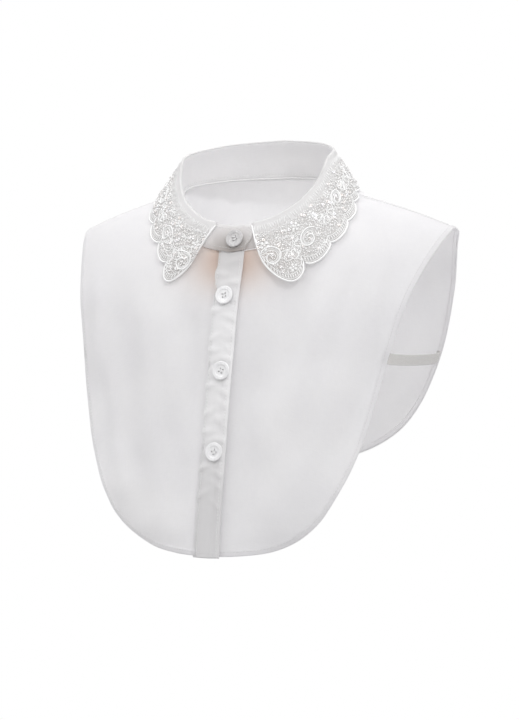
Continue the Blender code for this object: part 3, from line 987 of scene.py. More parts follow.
def leaf_edge(side):
    notches = SCALLOPS[side]
    rows = []
    for (start, near, stand_out), (end, far, _) in zip(notches, notches[1:]):
        for share in np.arange(SCALLOP_STEPS) / SCALLOP_STEPS:
            round_out = stand_out * math.sin(math.pi * share) ** 0.62
            rows.append((start + share * (end - start), near + share * (far - near) + round_out))
    rows.append(notches[-1][:2])
    return rows


def joining_curve(first, last, leave, arrive, share):
    """A place on the smooth curve from one point to another, by its directions at both."""
    return (
        first * (1 + 2 * share) * (1 - share) ** 2
        + last * share**2 * (3 - 2 * share)
        + share * (1 - share) * (leave * (1 - share) - arrive * share)
    )


def leaf_column(side, degrees, radius):
    """The roll over the fold, and the line from it down to the edge."""
    sign = SIDES[side]
    turn = math.radians(degrees)
    across = np.array(sign * radius * math.sin(turn))
    drape = np.array(EDGE_CENTRE + radius * math.cos(turn))
    edge = on_figure(across, drape, LEAF_LIFT)
    plan = fold_turn_of(edge)
    first_plan = front_plan(side)
    lean = first_plan - math.radians(FOLD_START[side])
    fold_turn = sign * (plan - lean * math.exp(-(((plan - first_plan) / 0.5) ** 2)))
    place = fold_turn if sign < 0 else fold_turn - 2 * math.pi
    top = stand_point(place, 1.0)
    out = ring_out(fold_turn)
    up = np.array([0, 0, 1.0])
    over = SEAM_GAP + CLOTH / 2 + 0.15
    inside = top - out * 0.5 + up * over
    crest = top + out * 1.1 + up * (over + 0.6)
    start = top + out * 2.4 - up * 0.5
    middle = (start + edge) / 2 + float(curve(LEAF_BULGE, math.degrees(plan))) * out
    roll = []
    for share in np.linspace(0, 1, 4)[:-1]:
        roll.append((1 - share) * inside + share * crest + up * 0.35 * math.sin(math.pi * share))
    leave = (crest - inside) * 0.9
    arrive = unit(middle - start) * np.linalg.norm(start - crest) * 0.9
    for share in np.linspace(0, 1, 5)[:-1]:
        roll.append(joining_curve(crest, start, leave, arrive, share))
    fall = [
        (1 - share) ** 2 * start + 2 * share * (1 - share) * middle + share**2 * edge
        for share in LEAF_SHARES
    ]
    return np.array(roll), np.array(fall)


def leaf_grid(side):
    """One side of the lace: its roll over the fold, its fall, and the fall's sizes and normals."""
    columns = [leaf_column(side, *row) for row in leaf_edge(side)]
    fall = np.array([column[1] for column in columns])
    normals = unit(np.cross(np.gradient(fall, axis=1), np.gradient(fall, axis=0)))
    return {
        "roll": np.array([column[0] for column in columns]),
        "fall": fall,
        "along": way_along(fall[:, LEAF_MIDDLE]),
        "length": np.linalg.norm(np.diff(fall, axis=1), axis=2).sum(1),
        "normals": normals * SIDES[side],
    }


LEAF = {side: leaf_grid(side) for side in SIDES}


def leaf_place(side, along, down):
    """Points and normals on the lace, by the way along it and the way down from the fold."""
    leaf = LEAF[side]
    column = np.interp(along, leaf["along"], np.arange(len(leaf["along"])))
    row = down / np.interp(column, np.arange(len(leaf["length"])), leaf["length"])
    row = np.clip(row, 0, 1) * (leaf["fall"].shape[1] - 1)
    c0 = np.clip(np.floor(column).astype(int), 0, leaf["fall"].shape[0] - 2)
    r0 = np.clip(np.floor(row).astype(int), 0, leaf["fall"].shape[1] - 2)
    fc, fr = (column - c0)[..., None], (row - r0)[..., None]
    found = []
    for grid in (leaf["fall"], leaf["normals"]):
        found.append(
            grid[c0, r0] * (1 - fc) * (1 - fr) + grid[c0 + 1, r0] * fc * (1 - fr)
            + grid[c0, r0 + 1] * (1 - fc) * fr + grid[c0 + 1, r0 + 1] * fc * fr
        )
    return found[0], unit(found[1])


left, right = LEAF["left"], LEAF["right"]


def whole_lace():
    """Both sides of the lace in one cloth, closed along its rolled edge and open net below."""
    grid = np.concatenate([
        np.concatenate([left["roll"], left["fall"]], axis=1),
        np.concatenate([right["roll"], right["fall"]], axis=1)[-2::-1],
    ]).transpose(1, 0, 2)
    back_run = left["along"][-1] + (right["along"][-1] - right["along"][-2::-1])
    run, down = np.meshgrid(np.concatenate([left["along"], back_run]),
                            np.linspace(0, 60, grid.shape[0]))
    lengths = np.concatenate([left["length"], right["length"][-2::-1]])
    roll_rows = left["roll"].shape[1]
    shares = np.concatenate([np.zeros(roll_rows), LEAF_SHARES])[:, None]
    rolled = 1 - ease((shares * lengths - 2.0) / 14.0)
    return cloth("lace_ground", grid, np.stack([run, down], -1), ORGANZA, net, rolled)


lace = whole_lace()


# Buttons


def button_spot(across, height):
    drape = drape_at(float(across), height, "front")
    normal = figure_normal(np.array(float(across)), drape)
    return figure(np.array(float(across)), drape) + normal * (0.3 + STAND_CLOTH / 2 + 0.35), normal


def stand_spot():
    across, share = STAND_BUTTON
    turn = math.asin(across / FOLD_HALF)
    along = stand_point(turn + 0.02, share) - stand_point(turn - 0.02, share)
    upward = stand_point(turn, share + 0.05) - stand_point(turn, share - 0.05)
    normal = unit(np.cross(along, upward))
    return stand_point(turn, share) + normal * (STAND_CLOTH / 2 + 0.35), normal


def select_faces(mesh, low, high, reach, inner=-1.0):
    """In edit mode, selects the faces whose middle lies in a band of height and radius."""
    bpy.ops.mesh.select_all(action="DESELECT")
    bpy.ops.object.mode_set(mode="OBJECT")
    for face in mesh.polygons:
        middle = face.center / MM
        radius = math.hypot(middle.x, middle.y)
        face.select = low <= middle.z <= high and inner <= radius <= reach
    bpy.ops.object.mode_set(mode="EDIT")


BUTTON_RINGS = (  # the next ring's width, and how far it rises
    (0.5, 0.22), (0.4, -0.26), (0.35, 0.22), (0.4, -0.24), (0.35, 0.18), (0.6, -0.42),
    (0.5, -0.28), (1.2, -0.05),
)


def button_body():
    """A four-hole button with a raised rim: a disc, sunk in its middle, with its holes cut."""
    deselect()
    bpy.ops.mesh.primitive_cylinder_add(vertices=72, radius=7.6 * MM, depth=1.3 * MM,
                                        location=(0, 0, 0.65 * MM))
    made = bpy.context.object
    bpy.ops.object.transform_apply(location=True, rotation=True, scale=True)
    bpy.ops.object.mode_set(mode="EDIT")
    bpy.ops.mesh.select_mode(type="FACE")
    select_faces(made.data, 1.2, 1.4, 2)
    bpy.ops.mesh.extrude_region_move(TRANSFORM_OT_translate={"value": (0, 0, 0.55 * MM)})
    bpy.ops.transform.resize(value=(0.95, 0.95, 1))
    for wide, rise in BUTTON_RINGS:
        bpy.ops.mesh.inset(thickness=wide * MM)
        bpy.ops.transform.translate(value=(0, 0, rise * MM))
    select_faces(made.data, -0.1, 0.1, 9)
    bpy.ops.transform.resize(value=(0.84, 0.84, 1))
    bpy.ops.object.mode_set(mode="OBJECT")
    soft = made.modifiers.new("soft", "BEVEL")
    soft.width = 0.14 * MM
    soft.segments = 2
    soft.limit_method = "ANGLE"
    soft.angle_limit = math.radians(24)
    bpy.ops.object.modifier_apply(modifier="soft")
    for x, y in ((1.3, 1.3), (-1.3, 1.3), (-1.3, -1.3), (1.3, -1.3)):
        deselect()
        bpy.ops.mesh.primitive_cylinder_add(vertices=20, radius=0.72 * MM, depth=8 * MM,
                                            location=(x * MM, y * MM, 1.5 * MM))
        cutter = bpy.context.object
        hole = made.modifiers.new("hole", "BOOLEAN")
        hole.object = cutter
        hole.solver = "EXACT"
        select_only(made)
        bpy.ops.object.modifier_apply(modifier="hole")
        bpy.data.objects.remove(cutter)
    return made


def set_on(piece, spot, normal, turned=0.0):
    """Turns a piece made flat on the ground to stand on a place, in its mesh."""
    side = unit(np.cross(normal, (0, 0, 1.0)))
    up = np.cross(side, normal)
    turn = Matrix([[*(side[k], up[k], normal[k])] for k in range(3)]).to_4x4()
    if turn.to_3x3().determinant() < 0:
        turn = Matrix([[*(-side[k], up[k], normal[k])] for k in range(3)]).to_4x4()
    spin = Matrix.Rotation(turned, 4, "Z")
    piece.data.transform(Matrix.Translation(Vector(spot) * MM) @ turn @ spin)
    piece.data.update()


def button_thread(name, spot, normal, turned):
    """Two rows of thread across the four holes."""
    runs = []
    for y in (-1.3, 1.3):
        for shift in (-0.22, 0.0, 0.22):
            turn = np.linspace(-1, 1, 9)
            height = 1.35 + 0.4 * np.sqrt(np.clip(1 - turn**2, 0, 1)) - 1.0 * (np.abs(turn) > 0.9)
            path = np.stack([turn * 1.4, np.full(9, y + shift), height], -1)
            runs.append((path, np.tile((0, 0, 1.0), (9, 1)), 0.16, 0.16))
    sewn = tubes(name, runs, sewing)
    set_on(sewn, spot, normal, turned)
    return sewn


button_seed = button_body()
button_places = [("button_stand", *stand_spot(), 0.5)] + [
    (name, *button_spot(across, height), turned)
    for (name, across, height), turned in zip(BUTTONS, (0.25, 1.1, 0.6))
]
for name, spot, normal, turned in button_places:
    made = button_seed.copy()
    made.data = button_seed.data.copy()
    made.name = made.data.name = name + "_shell"
    bpy.context.scene.collection.objects.link(made)
    set_on(made, spot, normal, turned)
    # The stand's button takes the shell with painted shade
    finish(made, shell_painted_shade if name == "button_stand" else shell, 35)
    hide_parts(name)
    button_thread(name + "_thread", spot, normal, turned)
bpy.data.objects.remove(button_seed)


# Straps


def strap(name, side):
    inside = -(CLOTH / 2 + STRAP_CLOTH / 2 + 0.4)
    rows = []
    offsets = np.linspace(-STRAP_WIDTH / 2, STRAP_WIDTH / 2, 41)
    for offset in offsets:
        ends = []
        for part in ("front", "back"):
            widths, heights = zip(*EDGE[part])
            height = STRAP_HEIGHT[part] - offset
            limit = float(np.interp(height, heights, widths))
            across = np.linspace(limit - STRAP_HOLD, limit - 1.0, 8)
            drape = drape_at(across, height, part)
            lift = inside + fold_lift(side * across, drape, part)
            ends.append(on_figure(side * across, drape, lift))
        first, last = ends[0], ends[1][::-1]
        span = np.linalg.norm(last[0] - first[-1])
        leave = 0.2 * unit(first[-1] - first[-2]) * span
        arrive = 0.2 * unit(last[1] - last[0]) * span
        bridge = []
        for share in np.linspace(0, 1, 60)[1:-1]:
            spot = joining_curve(first[-1], last[0], leave, arrive, share)
            bridge.append(spot - (0, 0, STRAP_SAG * 4 * share * (1 - share)))
        rows.append(np.concatenate([first, bridge, last]))
    points = np.array(rows)
    away = unit(np.cross(np.gradient(points, axis=1), np.gradient(points, axis=0)))
    points = points + away * (STRAP_RIB[0] * np.cos(2 * math.pi * offsets / STRAP_RIB[1]))[:, None, None]
    run, off = np.meshgrid(np.linspace(0, 110, points.shape[1]), offsets)
    made = cloth(name + "_rib", points, np.stack([run, off], -1), 0.7, elastic)
    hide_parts(name)
    return made


for side, sign in SIDES.items():
    strap("strap_" + side, sign)

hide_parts("front_left")
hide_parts("front_right")
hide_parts("back")
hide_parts("button_placket")
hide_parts("collar_stand")
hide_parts("lace_collar")


# Embroidery: everything is laid out on the flat lace, along it and down from its fold

rng = np.random.default_rng(11)
ORGANZA_TOP = ORGANZA / 2
EDGE_BAND = 6.0
cords = []
satins = {"centre": [], "along": [], "across": [], "up": []}
beads = []
sequins = []
CELL = 0.5
taken = {side: np.zeros((int(LEAF[side]["along"][-1] / CELL) + 40, 160), bool) for side in SIDES}


def lace_length(side, along):
    return np.interp(along, LEAF[side]["along"], LEAF[side]["length"])


def spread(side, along, down):
    """How much wider than its flat place the lace is here."""
    along = np.clip(along, 1.0, LEAF[side]["along"][-1] - 1.0)
    near, _ = leaf_place(side, along - 1.0, down)
    far, _ = leaf_place(side, along + 1.0, down)
    return np.linalg.norm(far - near, axis=-1) / 2.0


def take(side, along, down, reach):
    """Marks the flat places round these points as stitched."""
    spots = taken[side]
    n = int(reach / CELL) + 1
    a = (np.atleast_1d(along) / CELL).astype(int) + 10
    d = (np.atleast_1d(down) / CELL).astype(int) + 10
    for i in range(-n, n + 1):
        for j in range(-n, n + 1):
            if math.hypot(i, j) * CELL <= reach:
                spots[np.clip(a + i, 0, spots.shape[0] - 1), np.clip(d + j, 0, spots.shape[1] - 1)] = True


def is_taken(side, along, down):
    spots = taken[side]
    a = min(max(int(along / CELL) + 10, 0), spots.shape[0] - 1)
    d = min(max(int(down / CELL) + 10, 0), spots.shape[1] - 1)
    return spots[a, d]


def cord(side, along, down, half_width, mark=1.1):
    """A couched cord through flat places."""
    along, down = np.asarray(along, float), np.asarray(down, float)
    limit = lace_length(side, along)
    along = np.clip(along, 0, LEAF[side]["along"][-1])
    down = np.clip(down, 0, limit)
    path, normals = leaf_place(side, along, down)
    half_height = half_width * 0.85
    cords.append((path + normals * (ORGANZA_TOP + half_height * 0.6), normals, half_width, half_height))
    take(side, along, down, mark)


def satin(side, along, down, turn, length, width, height=None, mark=None):
    """A padded satin stitch: its middle, its direction round from along, its length and width."""
    limit = float(lace_length(side, along))
    if not (0.6 < down < limit - 0.5 and 0.3 < along < LEAF[side]["along"][-1] - 0.01):
        return
    reach = 0.4
    wide = float(spread(side, along, down))
    a = np.array([along - reach * math.cos(turn) / wide, along, along + reach * math.cos(turn) / wide])
    d = np.array([down - reach * math.sin(turn), down, down + reach * math.sin(turn)])
    spots, normals = leaf_place(side, a, d)
    normal = normals[1]
    way = spots[2] - spots[0]
    way = way - normal * (way @ normal)
    way = way / max(np.linalg.norm(way), 1e-6)
    height = height or 0.32 * width + 0.12
    satins["centre"].append(spots[1] + normal * (ORGANZA_TOP + height * 0.35))
    satins["along"].append(way * length)
    satins["across"].append(np.cross(normal, way) * width / 2)
    satins["up"].append(normal * height)
    steps = np.linspace(-0.4, 0.4, 3) * length
    take(side, along + steps * math.cos(turn) / wide, down + steps * math.sin(turn),
         width / 2 + 0.35 if mark is None else mark)


def bead(side, along, down, size=0.6):
    limit = float(lace_length(side, along))
    if 1.0 < down < limit - 1.0 and 0.6 < along < LEAF[side]["along"][-1]:
        spot, normal = leaf_place(side, np.array([along]), np.array([down]))
        beads.append((spot[0] + normal[0] * (ORGANZA_TOP + size * 0.8), size))
        take(side, along, down, size + 0.25)


def local(side, centre, x, y):
    """Flat places from offsets in true millimetres round a motif's middle."""
    wide = float(spread(side, np.array(centre[0]), np.array(centre[1])))
    return centre[0] + np.asarray(x) / wide, centre[1] + np.asarray(y)


FAN_PETALS = 6
FAN_OPEN = math.radians(160)


def petal_fan(side, centre, radius, turn):
    """Long petals fanned out from one foot, each with a vein."""
    for k in range(FAN_PETALS):
        lean = turn + FAN_OPEN * (k / (FAN_PETALS - 1) - 0.5)
        size = radius * (0.86 + 0.14 * math.cos(lean - turn))
        loop = np.linspace(0, 2 * math.pi, 19)
        out = 0.34 * size + 0.66 * size * (1 - np.cos(loop)) / 2
        half = 0.36 * size * math.sin(FAN_OPEN / (FAN_PETALS - 1))
        off = half * 1.9 * np.sin(loop) * ((1 - np.cos(loop)) / 2) ** 0.5
        x = out * math.cos(lean) - off * math.sin(lean)
        y = out * math.sin(lean) + off * math.cos(lean)
        cord(side, *local(side, centre, x, y), 0.42, mark=0.7)
        vein = np.linspace(0.3, 0.8, 5) * size
        if size > 8:
            cord(side, *local(side, centre, vein * math.cos(lean), vein * math.sin(lean)), 0.2, mark=0.7)
    arc = np.linspace(turn - 1.6, turn + 1.6, 13)
    cord(side, *local(side, centre, 0.26 * radius * np.cos(arc), 0.26 * radius * np.sin(arc)), 0.38)
    bead(side, *local(side, centre, 0.0, 0.0), 0.7)


def paisley(side, centre, radius, turn, hand):
    """A curled drop: a cord that winds in, a second one inside it, and bars between them."""
    wind = np.linspace(0, 1, 44)
    round_in = turn + hand * 2 * math.pi * 1.25 * wind
    out = radius * (1.08 - 0.8 * wind**0.8)
    cord(side, *local(side, centre, out * np.cos(round_in), out * np.sin(round_in)), 0.62)
    inner = out[:30] * 0.66
    cord(side, *local(side, centre, inner * np.cos(round_in[:30]), inner * np.sin(round_in[:30])), 0.34)
    bars = np.arange(0.02, 0.62, 1.5 / (2 * math.pi * 1.25 * radius))
    for share in bars:
        way = turn + hand * 2 * math.pi * 1.25 * share
        reach = radius * (1.08 - 0.8 * share**0.8) * 0.83
        a, d = local(side, centre, reach * math.cos(way), reach * math.sin(way))
        satin(side, float(a), float(d), way, 0.24 * reach, 0.62)
    tail = np.linspace(0, 1, 9)
    x = radius * 1.08 * np.cos(turn) - hand * tail * radius * 0.5 * math.sin(turn) * -1
    y = radius * 1.08 * np.sin(turn) - hand * tail * radius * 0.5 * math.cos(turn)
    cord(side, *local(side, centre, x + tail**2 * radius * 0.25 * math.cos(turn),
                      y + tail**2 * radius * 0.25 * math.sin(turn)), 0.4)
    bead(side, *local(side, centre, 0.0, 0.0), 0.75)


FLOWER_PETALS = 5


def flower(side, centre, radius, turn):
    """Satin petals of three stitches each, round a beaded eye."""
    for k in range(FLOWER_PETALS):
        for lean, long in ((-0.24, 0.8), (0.0, 1.0), (0.24, 0.8)):
            way = turn + 2 * math.pi * k / FLOWER_PETALS + lean
            length = radius * 0.62 * long
            reach = radius * 0.3 + length / 2
            a, d = local(side, centre, reach * math.cos(way), reach * math.sin(way))
            satin(side, float(a), float(d), way, length, radius * 0.2, 0.42)
    ring = np.linspace(0, 2 * math.pi, 13)
    cord(side, *local(side, centre, 0.22 * radius * np.cos(ring), 0.22 * radius * np.sin(ring)), 0.24)
    bead(side, *local(side, centre, 0.0, 0.0), 0.75)


SPRIG_LEAVES = 5


def sprig(side, centre, length, turn, bend):
    """A bent stem with pairs of small leaves."""
    way = np.linspace(0, 1, 14)
    x, y = way * length, bend * length * 0.5 * np.sin(way * math.pi * 0.9)
    sx = x * math.cos(turn) - y * math.sin(turn)
    sy = x * math.sin(turn) + y * math.cos(turn)
    cord(side, *local(side, centre, sx, sy), 0.26, mark=0.5)
    for k in range(SPRIG_LEAVES):
        at = int((k + 1) * 13 / (SPRIG_LEAVES + 0.5))
        head = math.atan2(sy[at] - sy[at - 1], sx[at] - sx[at - 1])
        for hand in (-1, 1):
            lean = head + hand * 0.85
            long = 2.3 * (1 - 0.25 * k / SPRIG_LEAVES)
            a, d = local(side, centre, sx[at] + math.cos(lean) * long * 0.6,
                         sy[at] + math.sin(lean) * long * 0.6)
            satin(side, float(a), float(d), lean, long, 0.85)


def edge_work(side):
    """The corded edge, its inner line and the bars between them, and the lashes by the fold."""
    leaf = LEAF[side]
    total = leaf["along"][-1]
    along = np.arange(0, total, 0.8)
    length = lace_length(side, along)
    cord(side, along, length - EDGE_BAND, 0.34)
    thin = np.arange(2.4, total, 0.8)
    cord(side, thin, lace_length(side, thin) - 1.9, 0.24, mark=0.3)
    place = 1.6
    while place < total:
        limit = float(lace_length(side, place))
        satin(side, place, limit - 3.9, math.pi / 2, 3.1, 0.95, 0.42)
        place += 1.95 / float(spread(side, np.array(place), np.array(limit - 4)))
    place = 3.0
    while place < total:
        limit = float(lace_length(side, place))
        step = 2.1 / float(spread(side, np.array(place), np.array(5.0)))
        turn = math.pi / 2 + 0.3 * math.sin(place * 0.23)
        long = 5.0 + 1.6 * math.sin(place * 0.9)
        satin(side, place, 1.6 + 0.5 * long, turn, long, 0.7)
        place += step
    for first in np.arange(6.0, total, 2.6):
        satin(side, float(first), 9.0 + 0.8 * math.sin(first), 0.5 + 0.4 * math.sin(first * 2), 2.2, 0.7)


MOTIF_REACH = 254.0  # the way from the front edge to the middle of the back in this table
MOTIFS = {  # kind, along, down, size, turn in degrees, hand
    "left": (
        ("paisley", 17, 38, 10.0, 200, 1), ("fan", 35, 27, 13.0, 60, 1), ("flower", 12, 20, 5.5, 20, 1),
        ("flower", 33, 47, 4.6, 50, 1), ("sprig", 24, 14, 12, 20, 1), ("paisley", 56, 30, 9.0, -30, -1),
        ("flower", 49, 15, 4.6, 10, 1), ("fan", 80, 20, 10.0, 90, 1), ("flower", 67, 14, 4.2, 0, 1),
        ("sprig", 60, 44, 10, -10, -1), ("paisley", 99, 21, 7.5, 160, 1), ("flower", 92, 12, 3.6, 40, 1),
        ("fan", 119, 17, 9.5, 90, 1), ("paisley", 138, 25, 8.5, -20, -1), ("flower", 130, 13, 4.2, 0, 1),
        ("fan", 160, 20, 12.0, 90, 1), ("flower", 150, 37, 4.4, 10, 1), ("paisley", 181, 29, 10.0, 170, 1),
        ("flower", 172, 14, 4.4, 30, 1), ("fan", 203, 20, 12.0, 90, 1), ("flower", 193, 42, 4.2, 10, 1),
        ("paisley", 224, 28, 9.5, -20, -1), ("flower", 214, 13, 4.4, 0, 1), ("fan", 246, 18, 12.0, 90, 1),
        ("flower", 236, 41, 4.2, 30, 1),
    ),
    "right": (
        ("paisley", 18, 37, 10.0, -30, -1), ("fan", 36, 26, 12.5, 100, 1), ("flower", 13, 20, 5.2, 50, 1),
        ("flower", 30, 48, 4.4, 10, 1), ("sprig", 22, 13, 12, 15, 1), ("paisley", 57, 29, 8.0, 200, 1),
        ("flower", 50, 13, 4.4, 20, 1), ("fan", 79, 18, 9.5, 80, 1), ("flower", 68, 12, 4.0, 0, 1),
        ("paisley", 98, 20, 7.5, -10, -1), ("flower", 90, 12, 3.6, 30, 1), ("fan", 118, 17, 9.5, 90, 1),
        ("paisley", 139, 25, 8.5, 200, 1), ("flower", 129, 12, 4.2, 0, 1), ("fan", 161, 20, 12.0, 90, 1),
        ("flower", 151, 38, 4.4, 10, 1), ("paisley", 182, 29, 10.0, -20, -1), ("flower", 172, 14, 4.4, 30, 1),
        ("fan", 204, 20, 12.0, 90, 1), ("flower", 194, 42, 4.2, 10, 1), ("paisley", 225, 28, 9.5, 200, 1),
        ("flower", 215, 13, 4.4, 0, 1), ("flower", 237, 41, 4.2, 30, 1), ("sprig", 240, 14, 9, 30, 1),
    ),
}


def seeds(side, tries, apart):
    """Small stitches, beads and sequins scattered over what is still bare."""
    leaf = LEAF[side]
    total = leaf["along"][-1]
    middles = [(row[1], row[2]) for row in MOTIFS[side]]
    for _ in range(tries):
        along = float(rng.uniform(1.5, total))
        down = float(rng.uniform(8.0, 54.0))
        kind = float(rng.random())
        lean = float(rng.normal(0, 0.5))
        long = float(rng.uniform(1.3, 2.3))
        if down > float(lace_length(side, along)) - EDGE_BAND - 0.8 or is_taken(side, along, down):
            continue
        near = min(middles, key=lambda m: (m[0] - along) ** 2 + (m[1] - down) ** 2)
        way = math.atan2(down - near[1], along - near[0]) + lean
        if kind < 0.68:
            satin(side, along, down, way, long, 0.72, None, apart)
        elif kind < 0.93:
            bead(side, along, down, 0.5 + 0.2 * kind)
            take(side, along, down, apart)
        else:
            spot, normal = leaf_place(side, np.array([along]), np.array([down]))
            sequins.append((spot[0] + normal[0] * (ORGANZA_TOP + 0.25), normal[0]))
            take(side, along, down, 1.5)


for side in SIDES:
    edge_work(side)
    for kind, along, down, size, turn, hand in MOTIFS[side]:
        turn = math.radians(turn)
        along *= LEAF[side]["along"][-1] / MOTIF_REACH
        limit = float(lace_length(side, along)) - EDGE_BAND
        if kind != "sprig":
            size = min(size, (limit - 4.0) / 2)
            down = min(down, limit - size)
        if kind == "fan":
            petal_fan(side, (along, down), size, turn)
        elif kind == "paisley":
            paisley(side, (along, down), size, turn, hand)
        elif kind == "flower":
            flower(side, (along, down), size, turn)
        else:
            sprig(side, (along, down), size, turn, 0.5 * hand)
    seeds(side, 9000, 1.0)

edge_path_3d = np.concatenate([left["fall"][0, :-1], left["fall"][:, -1], right["fall"][-2::-1, -1],
                               right["fall"][0, -2::-1]])
edge_normals = np.concatenate([left["normals"][0, :-1], left["normals"][:, -1],
                               right["normals"][-2::-1, -1], right["normals"][0, -2::-1]])
lace_cord = tubes("lace_edge_cord", [(edge_path_3d, edge_normals, 0.8, 0.75)], silk, 8)
lace_cords = tubes("lace_cords", cords, silk)
placed = {key: np.array(value) for key, value in satins.items()}
lace_satin = scattered("lace_satin", SATIN, placed["centre"], placed["along"], placed["across"],
                       placed["up"], silk, "lace")


def ball(rings=4, sides=6):
    """A small closed bead of unit size."""
    points, faces = [(0, 0, 1)], []
    for r in range(1, rings):
        for s in range(sides):
            rise, turn = math.pi * r / rings, 2 * math.pi * s / sides
            points.append((math.sin(rise) * math.cos(turn), math.sin(rise) * math.sin(turn), math.cos(rise)))
    points.append((0, 0, -1))
    for s in range(sides):
        after = (s + 1) % sides
        faces.append((0, 1 + s, 1 + after))
        for r in range(rings - 2):
            a, b = 1 + r * sides + s, 1 + r * sides + after
            faces.append((a, a + sides, b + sides, b))
        last = 1 + (rings - 2) * sides
        faces.append((last + s, len(points) - 1, last + after))
    return np.array(points, float), faces


bead_at = np.array([spot for spot, _ in beads])
bead_size = np.array([size for _, size in beads])[:, None]
lace_beads = scattered("lace_beads", ball(), bead_at, bead_size * (1, 0, 0), bead_size * (0, 1, 0),
                       bead_size * (0, 0, 1), pearl, "lace")


def spangle(sides=10):
    """A cupped disc with a hole, of unit size."""
    rings = ((0.28, 0.0), (1.0, 0.16), (1.0, 0.26), (0.28, 0.1))
    points = [
        (reach * math.cos(2 * math.pi * s / sides), reach * math.sin(2 * math.pi * s / sides), rise)
        for reach, rise in rings for s in range(sides)
    ]
    faces = []
    for r in range(4):
        for s in range(sides):
            a, b = r * sides + s, r * sides + (s + 1) % sides
            c = ((r + 1) % 4) * sides
            faces.append((a, c + s, c + (s + 1) % sides, b))
    return np.array(points), faces


SEQUIN = 1.35
sequin_at = np.array([spot for spot, _ in sequins])
sequin_up = np.array([normal for _, normal in sequins])
sequin_side = unit(np.cross(sequin_up, (0.3, 0.2, 1.0)))
lace_sequins = scattered("lace_sequins", spangle(), sequin_at, sequin_side * SEQUIN,
                         np.cross(sequin_up, sequin_side) * SEQUIN, sequin_up * SEQUIN, film, "lace")


# Sewing

rows_of_stitches = []


def sew(path, normals):
    rows_of_stitches.append(stitches_along(path, normals))


sew(*hem_stitches("front", 1, LEFT_START, 3.3, True))
sew(*hem_stitches("front", -1, RIGHT_HEM_START, 3.3))
for off in (1.0, 3.4):
    for side in (1, -1):
        sew(*hem_stitches("back", side, 0.0, off))

for side in (1, -1):
    for part, off in (("front", 1.0), ("front", SEAM_BAND - 1.2), ("back", 1.0)):
        across = np.linspace(NECK_HALF + 1.0, SHOULDER_TIP - 2.0, 90) * side
        drape = np.full(90, SHOULDER_GAP / 2 + off) * (1 if part == "front" else -1)
        lift = fold_lift(across, drape, part) + seam_ridge(drape) + VOILE / 2
        sew(on_figure(across, drape, lift), figure_normal(across, drape))

for place in (-PLACKET_HALF + PLACKET_STITCH, PLACKET_HALF - PLACKET_STITCH):
    top, bottom = placket_ends(np.array([place]))
    drape = np.linspace(top[0] + 1.0, bottom[0] - 1.0, 240)
    across = np.full(240, place)
    sew(on_placket(across, drape, STAND_VOILE / 2), figure_normal(across, drape))
across = np.linspace(-PLACKET_HALF + 1.0, PLACKET_HALF - 1.0, 24)
drape = placket_ends(across)[1] - 4.0
sew(on_placket(across, drape, STAND_VOILE / 2), figure_normal(across, drape))


def stand_run(share, first, last, count, off):
    """A path on the stand, off its middle surface: above 0 is outside."""
    turns = np.linspace(first, last, count)
    spots = np.array([stand_point(turn, share) for turn in turns])
    upward = np.array([
        stand_point(turn, min(share + 0.05, 1)) - stand_point(turn, share - 0.05) for turn in turns
    ])
    normals = unit(np.cross(np.gradient(spots, axis=0), upward))
    outward = np.array([ring_out(turn) for turn in turns])
    normals = normals * np.sign((normals * outward).sum(-1, keepdims=True))
    return spots + normals * off, normals * (1 if off > 0 else -1)


def tab_turn(share):
    """How far round the stitches run, short of the stand's end."""
    return math.asin((stand_end(share) - 2.0) / FOLD_HALF)


reach = tab_turn(0.1)
for share, end in ((0.1, reach), (0.9, reach - 0.05)):
    sew(*stand_run(share, end, -2 * math.pi - end, 420, STAND_VOILE / 2))
sew(*stand_run(0.1, reach, -2 * math.pi - reach, 420, -STAND_VOILE / 2))
shares = np.linspace(0.12, 0.88, 20)
tab_end = np.array([stand_point(tab_turn(share), share) for share in shares])
tab_out = np.array([ring_out(tab_turn(share)) for share in shares])
sew(tab_end + tab_out * STAND_VOILE / 2, tab_out)

sewn = [np.concatenate(column) for column in zip(*rows_of_stitches)]
stitching = scattered("stitching", STITCH, *sewn, sewing, "cotton")

piping, piping_out = stand_run(0.05, math.radians(-40), math.radians(-320), 200, -STAND_VOILE / 2)
inner_seam = tubes("stand_inner_seam", [(piping - (0, 0, 1.6), piping_out, 0.5, 0.5)], sewing)


BUTTONHOLE = 16.5
BAR_STEP = 0.42


def buttonhole(name, middle, along, normal):
    """A worked slit: close satin bars round a narrow dark opening."""
    across = np.cross(normal, along)
    bars = []
    for place in np.arange(-BUTTONHOLE / 2, BUTTONHOLE / 2 + 0.1, BAR_STEP):
        for side in (-1, 1):
            centre = middle + along * place + across * side * 0.85 + normal * 0.05
            bars.append((centre, across * 1.15, along * 0.24, normal * 0.24))
    for end in (-1, 1):
        for place in np.arange(-1.2, 1.3, BAR_STEP):
            centre = middle + along * end * (BUTTONHOLE / 2 + 0.4) + across * place + normal * 0.08
            bars.append((centre, along * 1.2, across * 0.26, normal * 0.26))
    return scattered(name, STITCH, *np.array(bars).transpose(1, 0, 2), sewing, "cotton")


for name, across, height in BUTTONS:
    across = np.array([float(across)])
    drape = drape_at(across, height, "front")
    spot = on_placket(across, drape + 1.0, STAND_VOILE / 2)[0]
    down = unit(figure(across, drape + 1) - figure(across, drape - 1))[0]
    buttonhole("buttonhole_" + name, spot, down, figure_normal(across, drape)[0])

# Stage, light and camera

SKY = (0.57, 1.17)  # light from straight below and from above

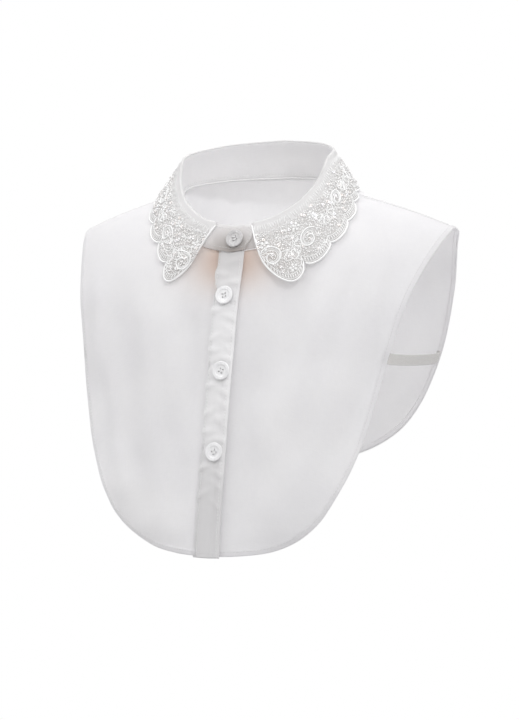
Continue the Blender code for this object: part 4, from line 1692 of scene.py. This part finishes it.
backdrop, tree, _, surface = new_material("pale_floor")
glow = tree.nodes.new("ShaderNodeEmission")
glow.inputs["Color"].default_value = (1, 1, 1, 1)
glow.inputs["Strength"].default_value = 1.0
tree.links.new(glow.outputs[0], surface)
bpy.ops.mesh.primitive_plane_add(size=12, location=(0, 0, -0.32))
floor = bpy.context.object
floor.name = "floor"
floor.data.materials.append(backdrop)

floor.visible_diffuse = False
floor.visible_transmission = False
floor.visible_glossy = False

world = bpy.data.worlds.new("studio")
bpy.context.scene.world = world
world.use_nodes = True
sky = world.node_tree
sky_place = sky.nodes.new("ShaderNodeTexCoord").outputs["Generated"]
sky_height = sky.nodes.new("ShaderNodeSeparateXYZ")
sky.links.new(sky_place, sky_height.inputs[0])
sky_light = sky.nodes.new("ShaderNodeMapRange")
sky_light.inputs["From Min"].default_value = -0.7
sky_light.inputs["From Max"].default_value = 0.8
sky_light.inputs["To Min"].default_value = SKY[0]
sky_light.inputs["To Max"].default_value = SKY[1]
sky.links.new(sky_height.outputs["Z"], sky_light.inputs["Value"])
seen = sky.nodes.new("ShaderNodeLightPath").outputs["Is Camera Ray"]
paper = sky.nodes.new("ShaderNodeMix")
sky.links.new(seen, paper.inputs["Factor"])
sky.links.new(sky_light.outputs[0], paper.inputs["A"])
paper.inputs["B"].default_value = 1.0
sky.links.new(paper.outputs["Result"], sky.nodes["Background"].inputs["Strength"])
sky.nodes["Background"].inputs["Color"].default_value = (1, 1, 1, 1)


def softbox(name, place, target, size, power):
    light = bpy.data.lights.new(name, "AREA")
    light.shape = "DISK"
    light.size = size
    light.energy = power
    lamp = bpy.data.objects.new(name, light)
    bpy.context.scene.collection.objects.link(lamp)
    lamp.location = place
    way = Vector(target) - Vector(place)
    lamp.rotation_euler = way.to_track_quat("-Z", "Y").to_euler()
    return lamp


softbox("key", (1.4, -0.9, 1.4), (0, 0, -0.1), 0.7, 12.5)
softbox("top", (-0.95, -0.3, 1.9), (0, 0, -0.1), 0.9, 12.0)
inner = softbox("inner", (0.0, -0.015, -0.1), (0.0, 0.12, 0.05), 0.08, 0.05)
inner.visible_camera = False

VIEW_TURN = math.radians(25)
VIEW_RISE = math.radians(2.5)
VIEW_AWAY = 2.2
back_way = Vector((math.sin(VIEW_TURN) * math.cos(VIEW_RISE),
                   -math.cos(VIEW_TURN) * math.cos(VIEW_RISE), math.sin(VIEW_RISE)))
right_way = Vector((math.cos(VIEW_TURN), math.sin(VIEW_TURN), 0))
up_way = back_way.cross(right_way)
lens = bpy.data.cameras.new("camera")
lens.sensor_width = 36
lens.lens = 134.14
camera = bpy.data.objects.new("camera", lens)
bpy.context.scene.collection.objects.link(camera)
camera.location = back_way * VIEW_AWAY - right_way * 0.00164 - up_way * 0.1423
camera.rotation_euler = back_way.to_track_quat("Z", "Y").to_euler()
bpy.context.scene.camera = camera
bpy.context.scene.view_settings.view_transform = "Standard"
